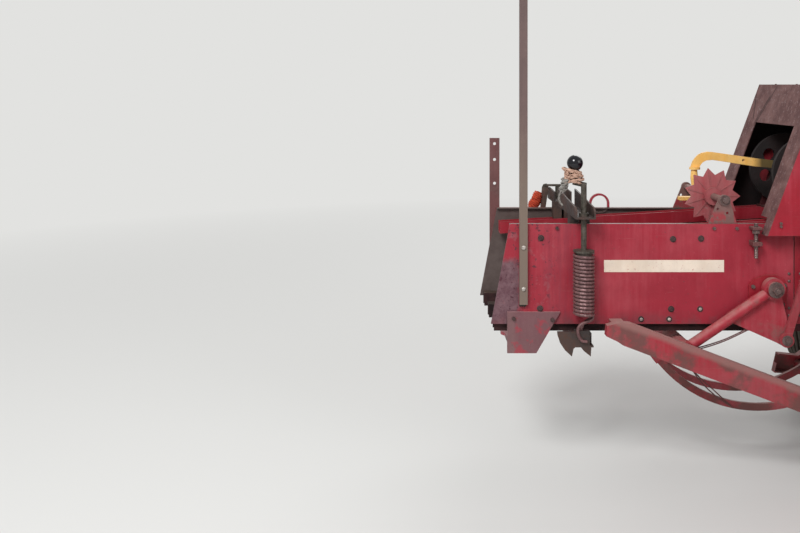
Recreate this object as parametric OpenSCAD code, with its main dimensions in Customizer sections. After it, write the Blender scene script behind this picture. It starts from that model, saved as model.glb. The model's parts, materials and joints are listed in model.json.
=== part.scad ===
// A towed square baler: a long bale case with knotters and needles on the
// left, a feed table with its pickup on the right, two tyres and a drawbar.
// X points forward, Y to the machine's left, Z up. The ground is Z = 0.

/* [Overall] */
// length from the bale case's rear corner to the hitch nose
overall_len = 4900; // [4850:10:5100]
// width over the outer faces of the two tyres
overall_w = 2600; // [2580:10:2800]
// height of the tall rear post's top above ground
post_top = 1840; // [1500:10:1900]

/* [Bale case] */
// height of the side plates' lower edge above ground
chamber_z = 540; // [530:5:580]
// inner height of the bale chamber
bale_h = 355; // [345:5:380]
// inner width of the bale chamber
bale_w = 457; // [445:1:470]
// thickness of the side plates
wall_t = 6; // [5:0.5:8]
// distance from the left tyre's outer face inwards to the case's middle
case_inset = 605; // [595:5:615]
// forward lean of the side plates' rear end
rear_slant = 67; // [30:1:100]
// length of the rear side plate up to its seam
plate_len = 1076; // [1040:2:1090]
// length of the whole bale case
case_len = 2960; // [2940:10:3000]
// depth of the rails under the side plates
rail_h = 28; // [22:1:34]
// width of the inward flange on top of the side plates
flange_w = 14; // [10:1:18]
// length of the feed opening in the right side plate
feed_len = 600; // [540:10:640]

/* [Bale tension] */
// forward distance of the tension screws from the rear corner
tension_dx = 321; // [300:1:340]
// outer diameter of the tension springs
spring_d = 78; // [72:1:80]
// wire diameter of the tension springs
spring_wire = 11; // [8:0.5:12]
// number of coils of a tension spring
spring_turns = 17; // [14:1:18]
// diameter of the tension screws
screw_d = 20; // [16:1:24]
// diameter of the black knobs on the cranks
knob_d = 56; // [40:1:60]

/* [Bale meter] */
// tip diameter of the star wheel
star_d = 208; // [190:2:216]
// number of points of the star wheel
star_points = 11; // [8:1:14]
// height of the star wheel's shaft above the side plates
star_up = 83; // [78:1:90]

/* [Needles and knotters] */
// radius of the needles' arc about the yoke pivot
needle_r = 465; // [460:1:470]
// distance of each needle from the case's middle
needle_y = 115; // [100:1:125]
// diameter of the yoke arm tubes
yoke_tube_d = 45; // [36:1:50]
// height of the knotter hood's top above the side plates
hood_up = 495; // [440:5:520]
// how far the hood's side panels stand outside the case
hood_out = 58; // [58:1:62]
// depth of the needle guard bars
guard_h = 80; // [60:2:86]

/* [Wheels] */
// diameter of the left tyre
left_tyre_d = 720; // [700:5:740]
// width of the left tyre
left_tyre_w = 260; // [220:5:270]
// diameter of the right tyre
right_tyre_d = 580; // [560:5:620]
// width of the right tyre
right_tyre_w = 170; // [140:5:180]
// diameter of the pickup's gauge wheel
gauge_d = 320; // [280:5:330]

/* [Pickup and feed table] */
// outer reach of the feed table to the right of the machine's middle
table_out = 906; // [880:2:930]
// radius of the tine tips
tine_r = 270; // [262:1:276]
// number of gaps between the stripper bands
band_gaps = 13; // [10:1:15]
// width of the gap between two bands
band_gap = 38; // [32:1:44]

/* [Drive and drawbar] */
// diameter of the flywheel
fly_d = 640; // [580:5:650]
// width of the flywheel's rim
fly_w = 80; // [60:2:86]
// width of the drawbar beam
tongue_w = 100; // [80:2:110]
// diameter of the hitch pin hole
hitch_d = 33; // [26:1:36]
// bore of the drive shaft's front yoke
pto_d = 35; // [34:1:45]

/* [Hidden] */
// places along the machine, as distances forward of the case's rear corner
floor_dx = 950;                   // the chamber floor's rear edge
feed_dx = 1520;                   // the feed opening's rear edge
piv_dx = 992;                     // the needle yoke's pivot
shaft_dx = 1200;                  // the knotter shaft
hinge_dx = 1660;                  // the hood's hinge
star_dx = 830;                    // the star wheel's shaft
axle_dx = 1710;                   // the axle
reel_dx = 2530;                   // the pickup reel's shaft
lift_dx = 2270;                   // the pickup's lift pivot
hood_dx = 955;                    // the hood's rear lower corner
hood_end_dx = 1690;               // the hood's front end
table_dx = 1489;                  // the feed table's back panel
table_end_dx = 2200;              // the feed table's front edge
tail_dx = 2245;                   // the stripper bands' tails
wind_dx = 2405;                   // the wind guard's pivot
gauge_dx = 2580;                  // the gauge wheel's axle
box_dx = 2170;                    // the twine box's rear end

// the bale case
fit = 0.05;                       // radial play of a running fit
seat = 0.3;                       // gap between pieces that rest on each other
chamber_cy = overall_w / 2 - case_inset; // the case's middle
rear_x = -overall_len / 2;
nose_x = overall_len / 2;
z0 = chamber_z;                   // lower edge of the side plates
zt = chamber_z + bale_h;          // upper edge of the side plates
yr = chamber_cy - bale_w / 2 - wall_t; // right outer face of the case
yl = chamber_cy + bale_w / 2 + wall_t; // left outer face of the case
yri = yr + wall_t;
yli = yl - wall_t;
seam_x = rear_x + plate_len;
seam_gap = 4;
case_x1 = rear_x + case_len;
flange_t = 5;
floor_t = 5;
floor_x0 = rear_x + floor_dx;
rail_w = 40;
feed_x0 = rear_x + feed_dx;
feed_x1 = feed_x0 + feed_len;

// needle yoke
piv_x = rear_x + piv_dx;
piv_z = z0 + 131;
piv_pin = 40;
arm_y0 = yr - 52;                 // outer face of the yoke's hubs
arm_w = 38;
yoke_r = 380;
yoke_a = -146;
tip_a = -32;
needle_arc = 108;
stroke = 80;
needle_w = 26;
needle_t = 14;
link_r = 183;
link_a = -77;
shaft_x = rear_x + shaft_dx;      // knotter shaft
shaft_z = zt + 165;
shaft_d = 40;
lp = [piv_x + link_r * cos(link_a), piv_z + link_r * sin(link_a)];
lq = [piv_x + link_r * cos(link_a + stroke), piv_z + link_r * sin(link_a + stroke)];
d0 = norm([shaft_x, shaft_z] - lp);
d1 = norm([shaft_x, shaft_z] - lq);
crank_c = (d0 - d1) / 2;          // throw of the knotter shaft's crank
cu = (lp - [shaft_x, shaft_z]) / d0;
cp = [shaft_x, shaft_z] + crank_c * cu; // crank pin at rest
link_y0 = yr - 46;                // the link lies just outside the crank
link_t = 12;
hinge_up = 235;                   // hood hinge over the side plates
hp_x = rear_x + hinge_dx;
hp_z = zt + hinge_up;

// tension gear
ten_x = rear_x + tension_dx;
ten_out = 5;
ten_y = yr - spring_d / 2 - ten_out;
spring_down = 92;                 // the springs' upper ends under the plates' top
spring_h = 224;
spring_z1 = zt - spring_down;
spring_z0 = spring_z1 - spring_h;
top_rail_x1 = rear_x + 1105;
top_rail_slope = 65 / 1093;
top_rail_h = 46;
top_rail_w = 56;
top_rail_y = yri + flange_w + 6;

// bale meter
saddle_up = 27;                   // underside of the saddle channels over the case
star_x = rear_x + star_dx;
star_z = zt + star_up;
star_y = yr + 140;
star_shaft = 24;

// wheels and axle
axle_x = rear_x + axle_dx;
beam_h = 80;
beam_w = 90;
beam_z1 = z0 - rail_h - 32;
stub_d = 50;
ltz = left_tyre_d / 2;
rtz = right_tyre_d / 2;
lty1 = overall_w / 2;
rty0 = -overall_w / 2;

// feed table and pickup
table_y0 = -table_out;
brace_y = -220;                   // second brace under the feed table
table_x0 = rear_x + table_dx;
table_x1 = rear_x + table_end_dx;
sheet = 6;
reel_x = rear_x + reel_dx;
reel_z = z0 - 210;
band_r = 215;
pk_x = rear_x + lift_dx;          // pickup lift pivot
pk_z = z0 - 70;
pk_pin = 30;
pk_y0 = table_y0 + 16;            // outer face of the right pickup plate
pk_y1 = yr - 12;                  // outer face of the left pickup plate
pk_t = 8;
wg_x = rear_x + wind_dx;
wg_z = z0 + 215;
tail_x = rear_x + tail_dx;
gauge_x = rear_x + gauge_dx;
gauge_w = 80;
gauge_z = gauge_d / 2 + 20;

// front end
ff_y = 150;                       // inner face of the front frame's channels
ff_w = 40;
ff_z1 = z0 - rail_h;
ff_z0 = ff_z1 - 72;
fly_x = case_x1 + 420;
drive_z = zt - 80;
tp_x = case_x1 + 620;             // drawbar pivot
tp_pin = 50;
tz = (ff_z0 + ff_z1) / 2;         // height of the drawbar's middle
th = ff_z1 - ff_z0 - 10;
jack_x = tp_x + 670;
jack_y = chamber_cy + tongue_w / 2 + 90;
pto_slope = 7.5;
pto_len = 1060;

// twine box
tb_len = 700;
tb_x0 = rear_x + box_dx;
tb_x1 = tb_x0 + tb_len;
tb_y0 = yl + 84;
tb_y1 = lty1 - 10;
tb_z0 = z0 + 30;
tb_z1 = z0 + 360;

red = "#a8323f";
faded = "#b5505c";
brown = "#5f464a";
grey = "#8a8a88";
yellow = "#e6b45a";
black = "#222224";

// Helpers: drawings raised along an axis, and simple rods

module plate_y(y, t) {
    translate([0, y + t, 0])
        rotate([90, 0, 0])
            linear_extrude(t) children();
}

module plate_x(x, t) {
    translate([x, 0, 0])
        rotate([90, 0, 90])
            linear_extrude(t) children();
}

module box(x0, x1, y0, y1, z0, z1) {
    translate([x0, y0, z0])
        cube([x1 - x0, y1 - y0, z1 - z0]);
}

module rod_y(x, z, y0, y1, r, n = 48) {
    translate([x, y1, z])
        rotate([90, 0, 0])
            cylinder(h = y1 - y0, r = r, $fn = n);
}

module rod_x(y, z, x0, x1, r, n = 48) {
    translate([x0, y, z])
        rotate([0, 90, 0])
            cylinder(h = x1 - x0, r = r, $fn = n);
}

module rod_z(x, y, z0, z1, r, n = 48) {
    translate([x, y, z0])
        cylinder(h = z1 - z0, r = r, $fn = n);
}

module bar(p, q, r, n = 24) {
    v = q - p;
    l = norm(v);
    translate(p)
        rotate([0, acos(v[2] / l), atan2(v[1], v[0])])
            cylinder(h = l, r = r, $fn = n);
}

// mirror about the middle of the bale case
module mirror_y() {
    translate([0, 2 * chamber_cy, 0]) mirror([0, 1, 0]) children();
}

module both_sides() {
    children();
    mirror_y() children();
}

// The bale case

module right_wall() {
    x1 = seam_x - seam_gap / 2;
    color(faded) {
        plate_y(yr, wall_t)
            polygon([[rear_x, z0], [rear_x + rear_slant, zt], [x1, zt], [x1, z0]]);
        box(rear_x + rear_slant, x1, yri, yri + flange_w, zt - flange_t, zt);
    }
}

module left_wall() {
    color(faded) {
        plate_y(yli, wall_t)
            polygon([[rear_x, z0], [rear_x + rear_slant, zt], [case_x1, zt], [case_x1, z0]]);
        box(rear_x + rear_slant, case_x1, yli - flange_w, yli, zt - flange_t, zt);
        // arched loop of flat bar on the top edge
        difference() {
            union() {
                rod_y(rear_x + 480, zt + 16, yli - 8, yli + 6, 40);
                box(rear_x + 440, rear_x + 520, yli - 8, yli + 6, zt - 2, zt + 16);
            }
            rod_y(rear_x + 480, zt + 16, yli - 9, yli + 7, 32);
            box(rear_x + 448, rear_x + 512, yli - 9, yli + 7, zt, zt + 16);
        }
    }
}

module case_right() {
    x0 = seam_x + seam_gap / 2;
    color(red)
        difference() {
            union() {
                box(x0, case_x1, yr, yri, z0, zt);
                box(x0, case_x1, yri, yri + flange_w, zt - flange_t, zt);
            }
            box(feed_x0, feed_x1, yr - 1, yri + 1, z0 + floor_t, zt - 35);
        }
}

module chamber_floor() {
    color(brown)
        difference() {
            union() {
                box(floor_x0, case_x1, yri, yli, z0, z0 + floor_t);
                both_sides()
                    box(floor_x0, case_x1, yri, yri + rail_w, z0 - rail_h, z0);
            }
            for (s = [-1, 1])
                box(piv_x + 395, piv_x + 490, chamber_cy + s * needle_y - 14,
                    chamber_cy + s * needle_y + 14, z0 - 1, z0 + floor_t + 1);
        }
}

// fixed channels on top of the case, ahead of the hinged tension rails
module top_rails() {
    y0 = top_rail_y;
    color(red) {
        both_sides()
            difference() {
                box(top_rail_x1 + seat, case_x1, y0, y0 + top_rail_w, zt - 34, zt + 10);
                box(top_rail_x1 - 1, case_x1 + 1, y0 + 6, y0 + top_rail_w - 6, zt - 28, zt + 11);
            }
        for (x = [top_rail_x1 + 60, top_rail_x1 + 420, feed_x1 + 40, case_x1 - 60])
            box(x, x + 40, yri, yli, zt, zt + 6);
    }
}

// height of a tension rail's top edge at x
function rail_top(x) = zt + 13 - (top_rail_x1 - x) * top_rail_slope;

module tension_rails() {
    xa = rear_x + rear_slant + 5;
    xb = top_rail_x1;
    color(faded) {
        both_sides()
            difference() {
                plate_y(top_rail_y, top_rail_w)
                    polygon([[xa, rail_top(xa)], [xb, rail_top(xb)],
                        [xb, rail_top(xb) - top_rail_h], [xa, rail_top(xa) - top_rail_h]]);
                plate_y(top_rail_y + 6, top_rail_w - 12)
                    polygon([[xa - 1, rail_top(xa) + 5], [xb + 1, rail_top(xb) + 5],
                        [xb + 1, rail_top(xb) - top_rail_h + 6],
                        [xa - 1, rail_top(xa) - top_rail_h + 6]]);
            }
        for (y = [yri + 10, chamber_cy - 25, yli - 60])
            difference() {
                plate_y(y, 50)
                    polygon([[rear_x + 12, z0 - rail_h], [floor_x0 - seat, z0 - rail_h],
                        [floor_x0 - seat, z0 + 5], [rear_x + 12, z0 + 22]]);
                plate_y(y + 5, 40)
                    polygon([[rear_x + 11, z0 - rail_h - 1], [floor_x0 - 4, z0 - rail_h - 1],
                        [floor_x0 - 4, z0 - 1], [rear_x + 11, z0 + 16]]);
            }
    }
}

// cross channels that carry the screws above and the springs' hooks below
// U-shaped channel across a tension rail, open at the top; h0, h1 = height at its ends
module saddle(y0, y1, h0, h1) {
    z = zt + saddle_up;
    difference() {
        plate_x(ten_x - 35, 70)
            polygon([[y0, z], [y1, z], [y1, z + h1], [y0 + 24, z + h0 + 4], [y0, z + h0 - 8]]);
        plate_x(ten_x - 29, 58)
            polygon([[y0 - 1, z + 6], [y1 + 1, z + 6], [y1 + 1, z + h1 + 20], [y0 - 1, z + h0 + 20]]);
        both_sides()
            rod_z(ten_x, ten_y, z - 1, z + 7, screw_d / 2 + 0.5);
    }
}

module tension_cross() {
    bot = z0 - rail_h;
    color(grey) {
        saddle(yr - 82, chamber_cy + 62, 36, 66);
        mirror_y() saddle(yr - 82, top_rail_y + top_rail_w, 44, 44);
        both_sides()
            for (dx = [-35, 5])
                plate_y(top_rail_y, top_rail_w)
                    polygon([[ten_x + dx, zt + saddle_up + 0.5],
                        [ten_x + dx + 30, zt + saddle_up + 0.5],
                        [ten_x + dx + 30, rail_top(ten_x + dx + 30)],
                        [ten_x + dx, rail_top(ten_x + dx)]]);
    }
    color(black) {
        difference() {
            box(ten_x - 38, ten_x + 32, yr - 20, yl + 20, bot - 40, bot);
            box(ten_x - 32, ten_x + 26, yr - 21, yl + 21, bot - 41, bot - 6);
        }
        both_sides() {
            for (y = [ten_y - 13, ten_y + 7])
                box(ten_x - 32, ten_x + 18, y, y + 6, bot - 40, bot + 18);
            box(ten_x - 38, ten_x + 32, ten_y - 13, yr - 20, bot - 40, bot - 34);
            rod_y(ten_x - 11, bot - 10.3, ten_y - 13, ten_y + 13, 6);
            // two pointed claws
            plate_y(ten_y - 13, 12)
                polygon([[ten_x - 94, bot + 14], [ten_x - 30, bot + 14], [ten_x - 30, bot - 38],
                    [ten_x - 38, bot - 45], [ten_x - 44, bot - 72], [ten_x - 68, bot - 50],
                    [ten_x - 84, bot - 26], [ten_x - 93, bot + 2]]);
            plate_y(ten_y - 13, 12)
                polygon([[ten_x - 16, bot - 35], [ten_x + 16, bot - 35], [ten_x + 24, bot - 40],
                    [ten_x + 22, bot - 72], [ten_x - 3, bot - 52]]);
        }
    }
}

// points along a spring's wire: its coils, then the hook at its lower end
function spring_pts() = let (
        r = (spring_d - spring_wire) / 2,
        n = spring_turns * 12,
        h = spring_z1 - spring_z0 - spring_wire
    )
    concat(
        [for (i = [0 : n]) [r * cos(360 * i / 12), r * sin(360 * i / 12),
            spring_z1 - spring_wire / 2 - h * i / n]],
        [[r - 1, 6, spring_z0 - 2], [r - 5, 10, spring_z0 - 8], [r - 14, 11, spring_z0 - 15],
            [8, 8, spring_z0 - 21], [-2, 4, spring_z0 - 29], [-7, 1.5, spring_z0 - 39],
            [-9.5, 0.5, spring_z0 - 50], [-10.5, 0.2, z0 - rail_h + 7],
            [-11, 0, z0 - rail_h - 4]]
    );

function unit(v) = v / norm(v);

// a round wire swept along points
module wire(p, r, n = 6) {
    m = len(p);
    rings = [for (i = [0 : m - 1]) let (
            t = unit(p[min(i + 1, m - 1)] - p[max(i - 1, 0)]),
            a = unit(cross([0, 0, 1], t)),
            b = cross(t, a)
        )
        for (k = [0 : n - 1]) p[i] + r * cos(360 * k / n) * a + r * sin(360 * k / n) * b];
    faces = concat(
        [[for (k = [0 : n - 1]) k]],
        [for (i = [0 : m - 2], k = [0 : n - 1])
            [i * n + k, (i + 1) * n + k, (i + 1) * n + (k + 1) % n, i * n + (k + 1) % n]],
        [[for (k = [n - 1 : -1 : 0]) (m - 1) * n + k]]
    );
    polyhedron(points = rings, faces = faces, convexity = 10);
}

module tension_springs() {
    color(faded)
        both_sides()
            translate([ten_x, ten_y, 0])
                wire(spring_pts(), spring_wire / 2);
}

module tension_cranks() {
    top = zt + 142;
    far_y = 2 * chamber_cy - ten_y;
    both_sides()
        color(grey) {
            rod_z(ten_x, ten_y, spring_z1 - 24, zt + 82, screw_d / 2);
            rod_z(ten_x, ten_y, spring_z1 - 14, spring_z1, spring_d / 2 - spring_wire - 0.6);
            rod_z(ten_x, ten_y, spring_z1 + 0.3, spring_z1 + 6, spring_d / 2 - 2);
            rod_z(ten_x, ten_y, zt + saddle_up + 6, zt + saddle_up + 18, 17);
        }
    color(grey) {
        rod_z(ten_x, ten_y, zt + 80, top, screw_d / 2);
        bar([ten_x + 8, ten_y, top], [ten_x - 36, ten_y, top + 10], 9);
        rod_z(ten_x - 31, ten_y, top + 2, top + 66, 9);
    }
    color(black)
        translate([ten_x - 31, ten_y, top + 78])
            sphere(d = knob_d, $fn = 40);
    // the left crank has lost its grip: a flat lever hangs from the screw's head
    color(grey) {
        box(ten_x - 52, ten_x + 12, far_y - 9, far_y + 9, zt + 80, zt + 88);
        plate_y(far_y - 4, 8)
            polygon([[ten_x - 74, zt - 50], [ten_x - 56, zt - 50], [ten_x - 38, zt + 70],
                [ten_x - 38, zt + 84], [ten_x - 46, zt + 91], [ten_x - 58, zt + 88],
                [ten_x - 64, zt + 76]]);
    }
}

module tall_post() {
    color(brown)
        difference() {
            box(rear_x + 100, rear_x + 128, yr - 16, yr, z0 + 71, post_top);
            box(rear_x + 104, rear_x + 124, yr - 12, yr + 1, z0 + 70, post_top + 1);
        }
}

module short_post() {
    color(brown)
        difference() {
            box(rear_x + 39, rear_x + 79, yl, yl + 6, z0 + 60, zt + 279);
            for (z = [zt + 96, zt + 192, zt + 256])
                rod_y(rear_x + 59, z, yl - 1, yl + 7, 6);
        }
}

// sloped plates under the rear corners, joined by a bar with a hole to tow from
module hitch_plates() {
    color(brown) {
        both_sides()
            plate_y(yr - 8, 8)
                polygon([[rear_x + 57, z0 + 44], [rear_x + 245, z0 + 44],
                    [rear_x + 160, z0 - 102], [rear_x + 57, z0 - 102]]);
        difference() {
            union() {
                box(rear_x + 70, rear_x + 130, yr - 8, yl + 8, z0 - 95, z0 - 83);
                rod_z(rear_x + 100, chamber_cy, z0 - 95, z0 - 83, 42);
            }
            rod_z(rear_x + 100, chamber_cy, z0 - 96, z0 - 82, 13);
        }
    }
}

// Bale meter

module meter_stand() {
    color(grey) {
        both_sides()
            difference() {
                union() {
                    plate_y(yri + 2, 8)
                        polygon([[star_x - 54, zt], [star_x + 46, zt], [star_x + 18, star_z + 6],
                            [star_x - 18, star_z + 6]]);
                    rod_y(star_x, star_z, yri - 3, yri + 10, 19);
                }
                rod_y(star_x - 22, star_z - 32, yri + 1, yri + 11, 5);
                rod_y(star_x + 12, star_z - 46, yri + 1, yri + 11, 5);
            }
        rod_y(star_x, star_z, yri + 2, yli - 2, star_shaft / 2);
    }
}

module meter_wheel() {
    r1 = star_d / 2;
    r0 = r1 * 0.75;
    color(red)
        difference() {
            union() {
                plate_y(star_y - 2.5, 5)
                    translate([star_x, star_z])
                        polygon([for (i = [0 : 2 * star_points - 1])
                            let (a = 180 * i / star_points, r = i % 2 == 0 ? r1 : r0)
                            [r * cos(a), r * sin(a)]]);
                for (i = [0 : star_points - 1])
                    translate([star_x, star_y, star_z])
                        rotate([0, -360 * i / star_points, 0])
                            translate([28, -4.5, -2])
                                cube([r1 - 40, 9, 4]);
                rod_y(star_x, star_z, star_y - 20, star_y + 20, 32);
            }
            rod_y(star_x, star_z, star_y - 21, star_y + 21, star_shaft / 2 + fit);
        }
}

module trip_arm() {
    x0 = star_x - 49;
    z1 = star_z + 156;
    color(yellow) {
        difference() {
            plate_y(chamber_cy - 6, 12)
                polygon([[x0, z1 - 58], [x0, z1 - 53], [x0 + 6, z1 - 36], [x0 + 16, z1 - 22],
                    [x0 + 28, z1 - 10], [x0 + 42, z1 - 3], [x0 + 60, z1 + 1], [x0 + 80, z1],
                    [x0 + 245, z1 - 24], [shaft_x - 34, z1 - 40], [shaft_x - 34, z1 - 66],
                    [x0 + 245, z1 - 55], [x0 + 80, z1 - 30], [x0 + 56, z1 - 32],
                    [x0 + 42, z1 - 40], [x0 + 34, z1 - 50], [x0 + 31, z1 - 58]]);
            rod_y(x0 + 197, z1 - 31, chamber_cy - 7, chamber_cy + 7, 5);
        }
        translate([x0 + 12, chamber_cy, 0]) {
            translate([0, 0, z1 - 96]) cylinder(h = 32, r1 = 14, r2 = 11, $fn = 32);
            translate([0, 0, z1 - 130]) cylinder(h = 34.2, r1 = 10, r2 = 14, $fn = 32);
            translate([0, 0, star_z - 14]) cylinder(h = z1 - star_z - 115, r = 9, $fn = 32);
        }
    }
    color(brown)
        rod_z(x0 + 14, chamber_cy, z1 - 66, z1 - 57, 20);
    color(yellow)
        box(x0 - 46, x0 + 24, chamber_cy - 18, chamber_cy + 18, star_z - 26, star_z - 13);
}

// Knotters and needles

module knotter_frames() {
    y = top_rail_y + 12;
    zb = zt + 10;
    beam = 22;
    color(grey) {
        both_sides()
            difference() {
                plate_y(y, 14)
                    polygon([[shaft_x - 88, zb], [shaft_x + 190, zb], [shaft_x + 150, zb + 40],
                        [shaft_x + 34, shaft_z + 34], [shaft_x - 34, shaft_z + 34]]);
                rod_y(shaft_x, shaft_z, y - 1, y + 15, shaft_d / 2 + fit);
            }
        box(shaft_x + 60, shaft_x + 100, y + 14, 2 * chamber_cy - y - 14, zb, zb + beam);
        // foot plates across the open channels
        both_sides()
            for (x = [[shaft_x - 92, shaft_x + 200], [hp_x - 55, hp_x + 55]])
                box(x[0], x[1], top_rail_y, top_rail_y + top_rail_w, zb, zb + 6);
        // posts and rod that the hood turns on
        both_sides()
            plate_y(y, 12)
                polygon([[hp_x - 45, zb], [hp_x + 45, zb], [hp_x + 20, hp_z + 22],
                    [hp_x - 20, hp_z + 22]]);
        rod_y(hp_x, hp_z, yr - hood_out - 2, yl + hood_out + 2, 10);
        // one casting for each needle, with its billhook, disc and twine holder
        for (s = [-1, 1]) {
            yk = chamber_cy + s * needle_y;
            difference() {
                plate_y(yk - 46, 20)
                    polygon([[shaft_x + 55, zb + beam], [shaft_x + 180, zb + beam],
                        [shaft_x + 205, zb + 90], [shaft_x + 150, zb + 120],
                        [shaft_x + 30, shaft_z + 40], [shaft_x - 34, shaft_z + 28],
                        [shaft_x - 34, shaft_z - 24]]);
                rod_y(shaft_x, shaft_z, yk - 47, yk - 25, shaft_d / 2 + fit);
            }
            rod_y(shaft_x + 178, zb + 78, yk - 62, yk - 46, 38);
            bar([shaft_x + 120, yk - 30, zb + 92], [shaft_x + 112, yk - 12, zb + 30], 10);
            bar([shaft_x + 112, yk - 14, zb + 36], [shaft_x + 150, yk - 14, zb + 12], 6);
        }
    }
    color(yellow)
        box(shaft_x - 34, shaft_x - 26, chamber_cy - 20, chamber_cy + 20, zb + 70, shaft_z + 36);
    color(grey)
        box(shaft_x - 26, shaft_x + 62, chamber_cy - 20, chamber_cy + 20, zb + 70, zb + 76);
    color(grey)
        box(shaft_x + 62, shaft_x + 70, chamber_cy - 20, chamber_cy + 20, zb + beam, zb + 76);
}

module knotter_shaft() {
    w = 20;
    color(grey) {
        rod_y(shaft_x, shaft_z, link_y0 + link_t + 2, yl + 38, shaft_d / 2);
        for (s = [-1, 1])
            difference() {
                rod_y(shaft_x, shaft_z, chamber_cy + s * needle_y + 34,
                    chamber_cy + s * needle_y + 34 + w, 138);
                for (a = [20 : 60 : 320])
                    rod_y(shaft_x + 84 * cos(a), shaft_z + 84 * sin(a),
                        chamber_cy + s * needle_y + 30, chamber_cy + s * needle_y + 60, 24);
            }
    }
    // crank that drives the needles through the link
    color(red) {
        plate_y(link_y0 + link_t + 2, 14)
            polygon([[shaft_x, shaft_z] + 34 * [-cu[1], cu[0]], cp + 22 * [-cu[1], cu[0]],
                cp + 22 * cu, cp - 22 * [-cu[1], cu[0]], [shaft_x, shaft_z] - 34 * [-cu[1], cu[0]],
                [shaft_x, shaft_z] - 34 * cu]);
    }
}

module pivot_brackets() {
    color(red)
        both_sides() {
            plate_y(yr - 10, 10)
                polygon([[piv_x - 80, piv_z - 72], [piv_x + 55, piv_z - 72], [piv_x + 55, piv_z + 8],
                    [piv_x + 46, piv_z + 30], [piv_x + 22, piv_z + 44], [piv_x - 22, piv_z + 44],
                    [piv_x - 62, piv_z + 30], [piv_x - 80, piv_z + 8]]);
            rod_y(piv_x, piv_z, arm_y0 - 2, yr - 10, piv_pin / 2);
        }
}

// a point at radius r and angle a about the yoke pivot
function about(r, a) = [piv_x + r * cos(a), piv_z + r * sin(a)];

module needle_yoke() {
    e = about(yoke_r, yoke_a);
    s = about(34, yoke_a);
    ym = arm_y0 + arm_w / 2;
    color(red) {
        both_sides() {
            difference() {
                union() {
                    rod_y(piv_x, piv_z, arm_y0, arm_y0 + 12, 27);
                    rod_y(piv_x, piv_z, arm_y0 + 12, arm_y0 + arm_w, 38);
                }
                rod_y(piv_x, piv_z, arm_y0 - 1, arm_y0 + arm_w + 1, piv_pin / 2 + fit);
            }
            bar([s[0], ym, s[1]], [e[0], ym, e[1]], yoke_tube_d / 2 - 4);
        }
        rod_y(e[0], e[1], arm_y0, 2 * chamber_cy - arm_y0, 30);
        // gusset that carries the link's pin
        difference() {
            plate_y(ym + 5, 8)
                polygon([about(37, -170), about(190, yoke_a + 5), lp + [-30, -12],
                    lp + [-12, -22], lp + [16, -14], lp + [22, 6], about(37, -40)]);
            rod_y(piv_x, piv_z, ym + 4, ym + 14, 37);
        }
        for (s = [-1, 1])
            plate_y(chamber_cy + s * needle_y - 12, 24)
                polygon([about(yoke_r + 20, yoke_a - 4), about(needle_r + 18, tip_a - needle_arc - 5),
                    about(needle_r + 18, tip_a - needle_arc - 1),
                    about(needle_r - 14, tip_a - needle_arc - 1), about(yoke_r + 20, yoke_a + 5)]);
    }
    color(grey)
        rod_y(lp[0], lp[1], link_y0 - 2, ym + 5.5, 12);
}

// half the needle's depth at angle a: it tapers over the last degrees to its tip
function needle_half(a) = a > tip_a - 12 ? 3 + (needle_w / 2 - 3) * (tip_a - a) / 12 : needle_w / 2;

module needles() {
    n = 28;
    ang = [for (i = [0 : n]) tip_a - (needle_arc + 1) * (1 - i / n)];
    color(faded)
        for (s = [-1, 1])
            plate_y(chamber_cy + s * needle_y - needle_t / 2, needle_t)
                polygon(concat(
                    [for (a = ang) about(needle_r - needle_half(a), a)],
                    [for (i = [n : -1 : 0]) about(needle_r + needle_half(ang[i]), ang[i])]
                ));
}

module needle_link() {
    v = (cp - lp) / norm(cp - lp);
    w = [-v[1], v[0]];
    color(red)
        difference() {
            union() {
                plate_y(link_y0, link_t)
                    polygon([lp + 13 * w, cp + 13 * w, cp - 13 * w, lp - 13 * w]);
                rod_y(lp[0], lp[1], link_y0, link_y0 + link_t, 25);
                rod_y(cp[0], cp[1], link_y0 - 3, link_y0 + link_t + 1, 23);
            }
            rod_y(lp[0], lp[1], link_y0 - 1, link_y0 + link_t + 1, 12 + fit);
        }
}

// the two guard bars and their cross tubes
guard_pts = [[-601, -133], [-560, -136], [-530, -145], [71, -372], [230, -424], [330, -432],
    [412, -372], [446, -262], [446, -95]];
module needle_guard() {
    o = [piv_x, piv_z];
    n = len(guard_pts);
    nrm = [for (i = [0 : n - 1]) let (
            t = unit(guard_pts[min(i + 1, n - 1)] - guard_pts[max(i - 1, 0)])) [-t[1], t[0]]];
    part = [for (i = [0 : n - 1]) i == 0 ? 0.45 : i == 1 ? 0.82 : 1];
    function line(h) = [for (i = [0 : n - 1]) o + guard_pts[i] + h * part[i] * nrm[i]];
    y0 = yr - 94;
    // channel bar from its k-th point to the front
    module guard_bar(k) {
        difference() {
            plate_y(y0, 34)
                polygon(concat([for (i = [k : n - 1]) line(-guard_h / 2)[i]],
                    [for (i = [n - 1 : -1 : k]) line(guard_h / 2)[i]]));
            plate_y(y0 + 6, 34)
                polygon(concat(
                    [for (i = [max(k, 1) : n - 1]) line(-guard_h / 2 + 6)[i]],
                    [for (i = [n - 1 : -1 : max(k, 1)]) line(guard_h / 2 - 6)[i]]
                ));
        }
        box(piv_x + 412, piv_x + 482, y0 + 5, yr, z0 + 30, z0 + 46);
    }
    color(faded) {
        guard_bar(0);
        box(piv_x - 575, piv_x - 530, y0 + 5, yr, z0 + 3, z0 + 19);
        mirror_y() guard_bar(4);
    }
    color(faded) {
        rod_y(piv_x + 330, piv_z - 432, y0 + 6, 2 * chamber_cy - y0 - 6, 18);
        rod_y(piv_x + 448, piv_z - 260, y0 + 6, 2 * chamber_cy - y0 - 6, 18);
    }
}

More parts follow.
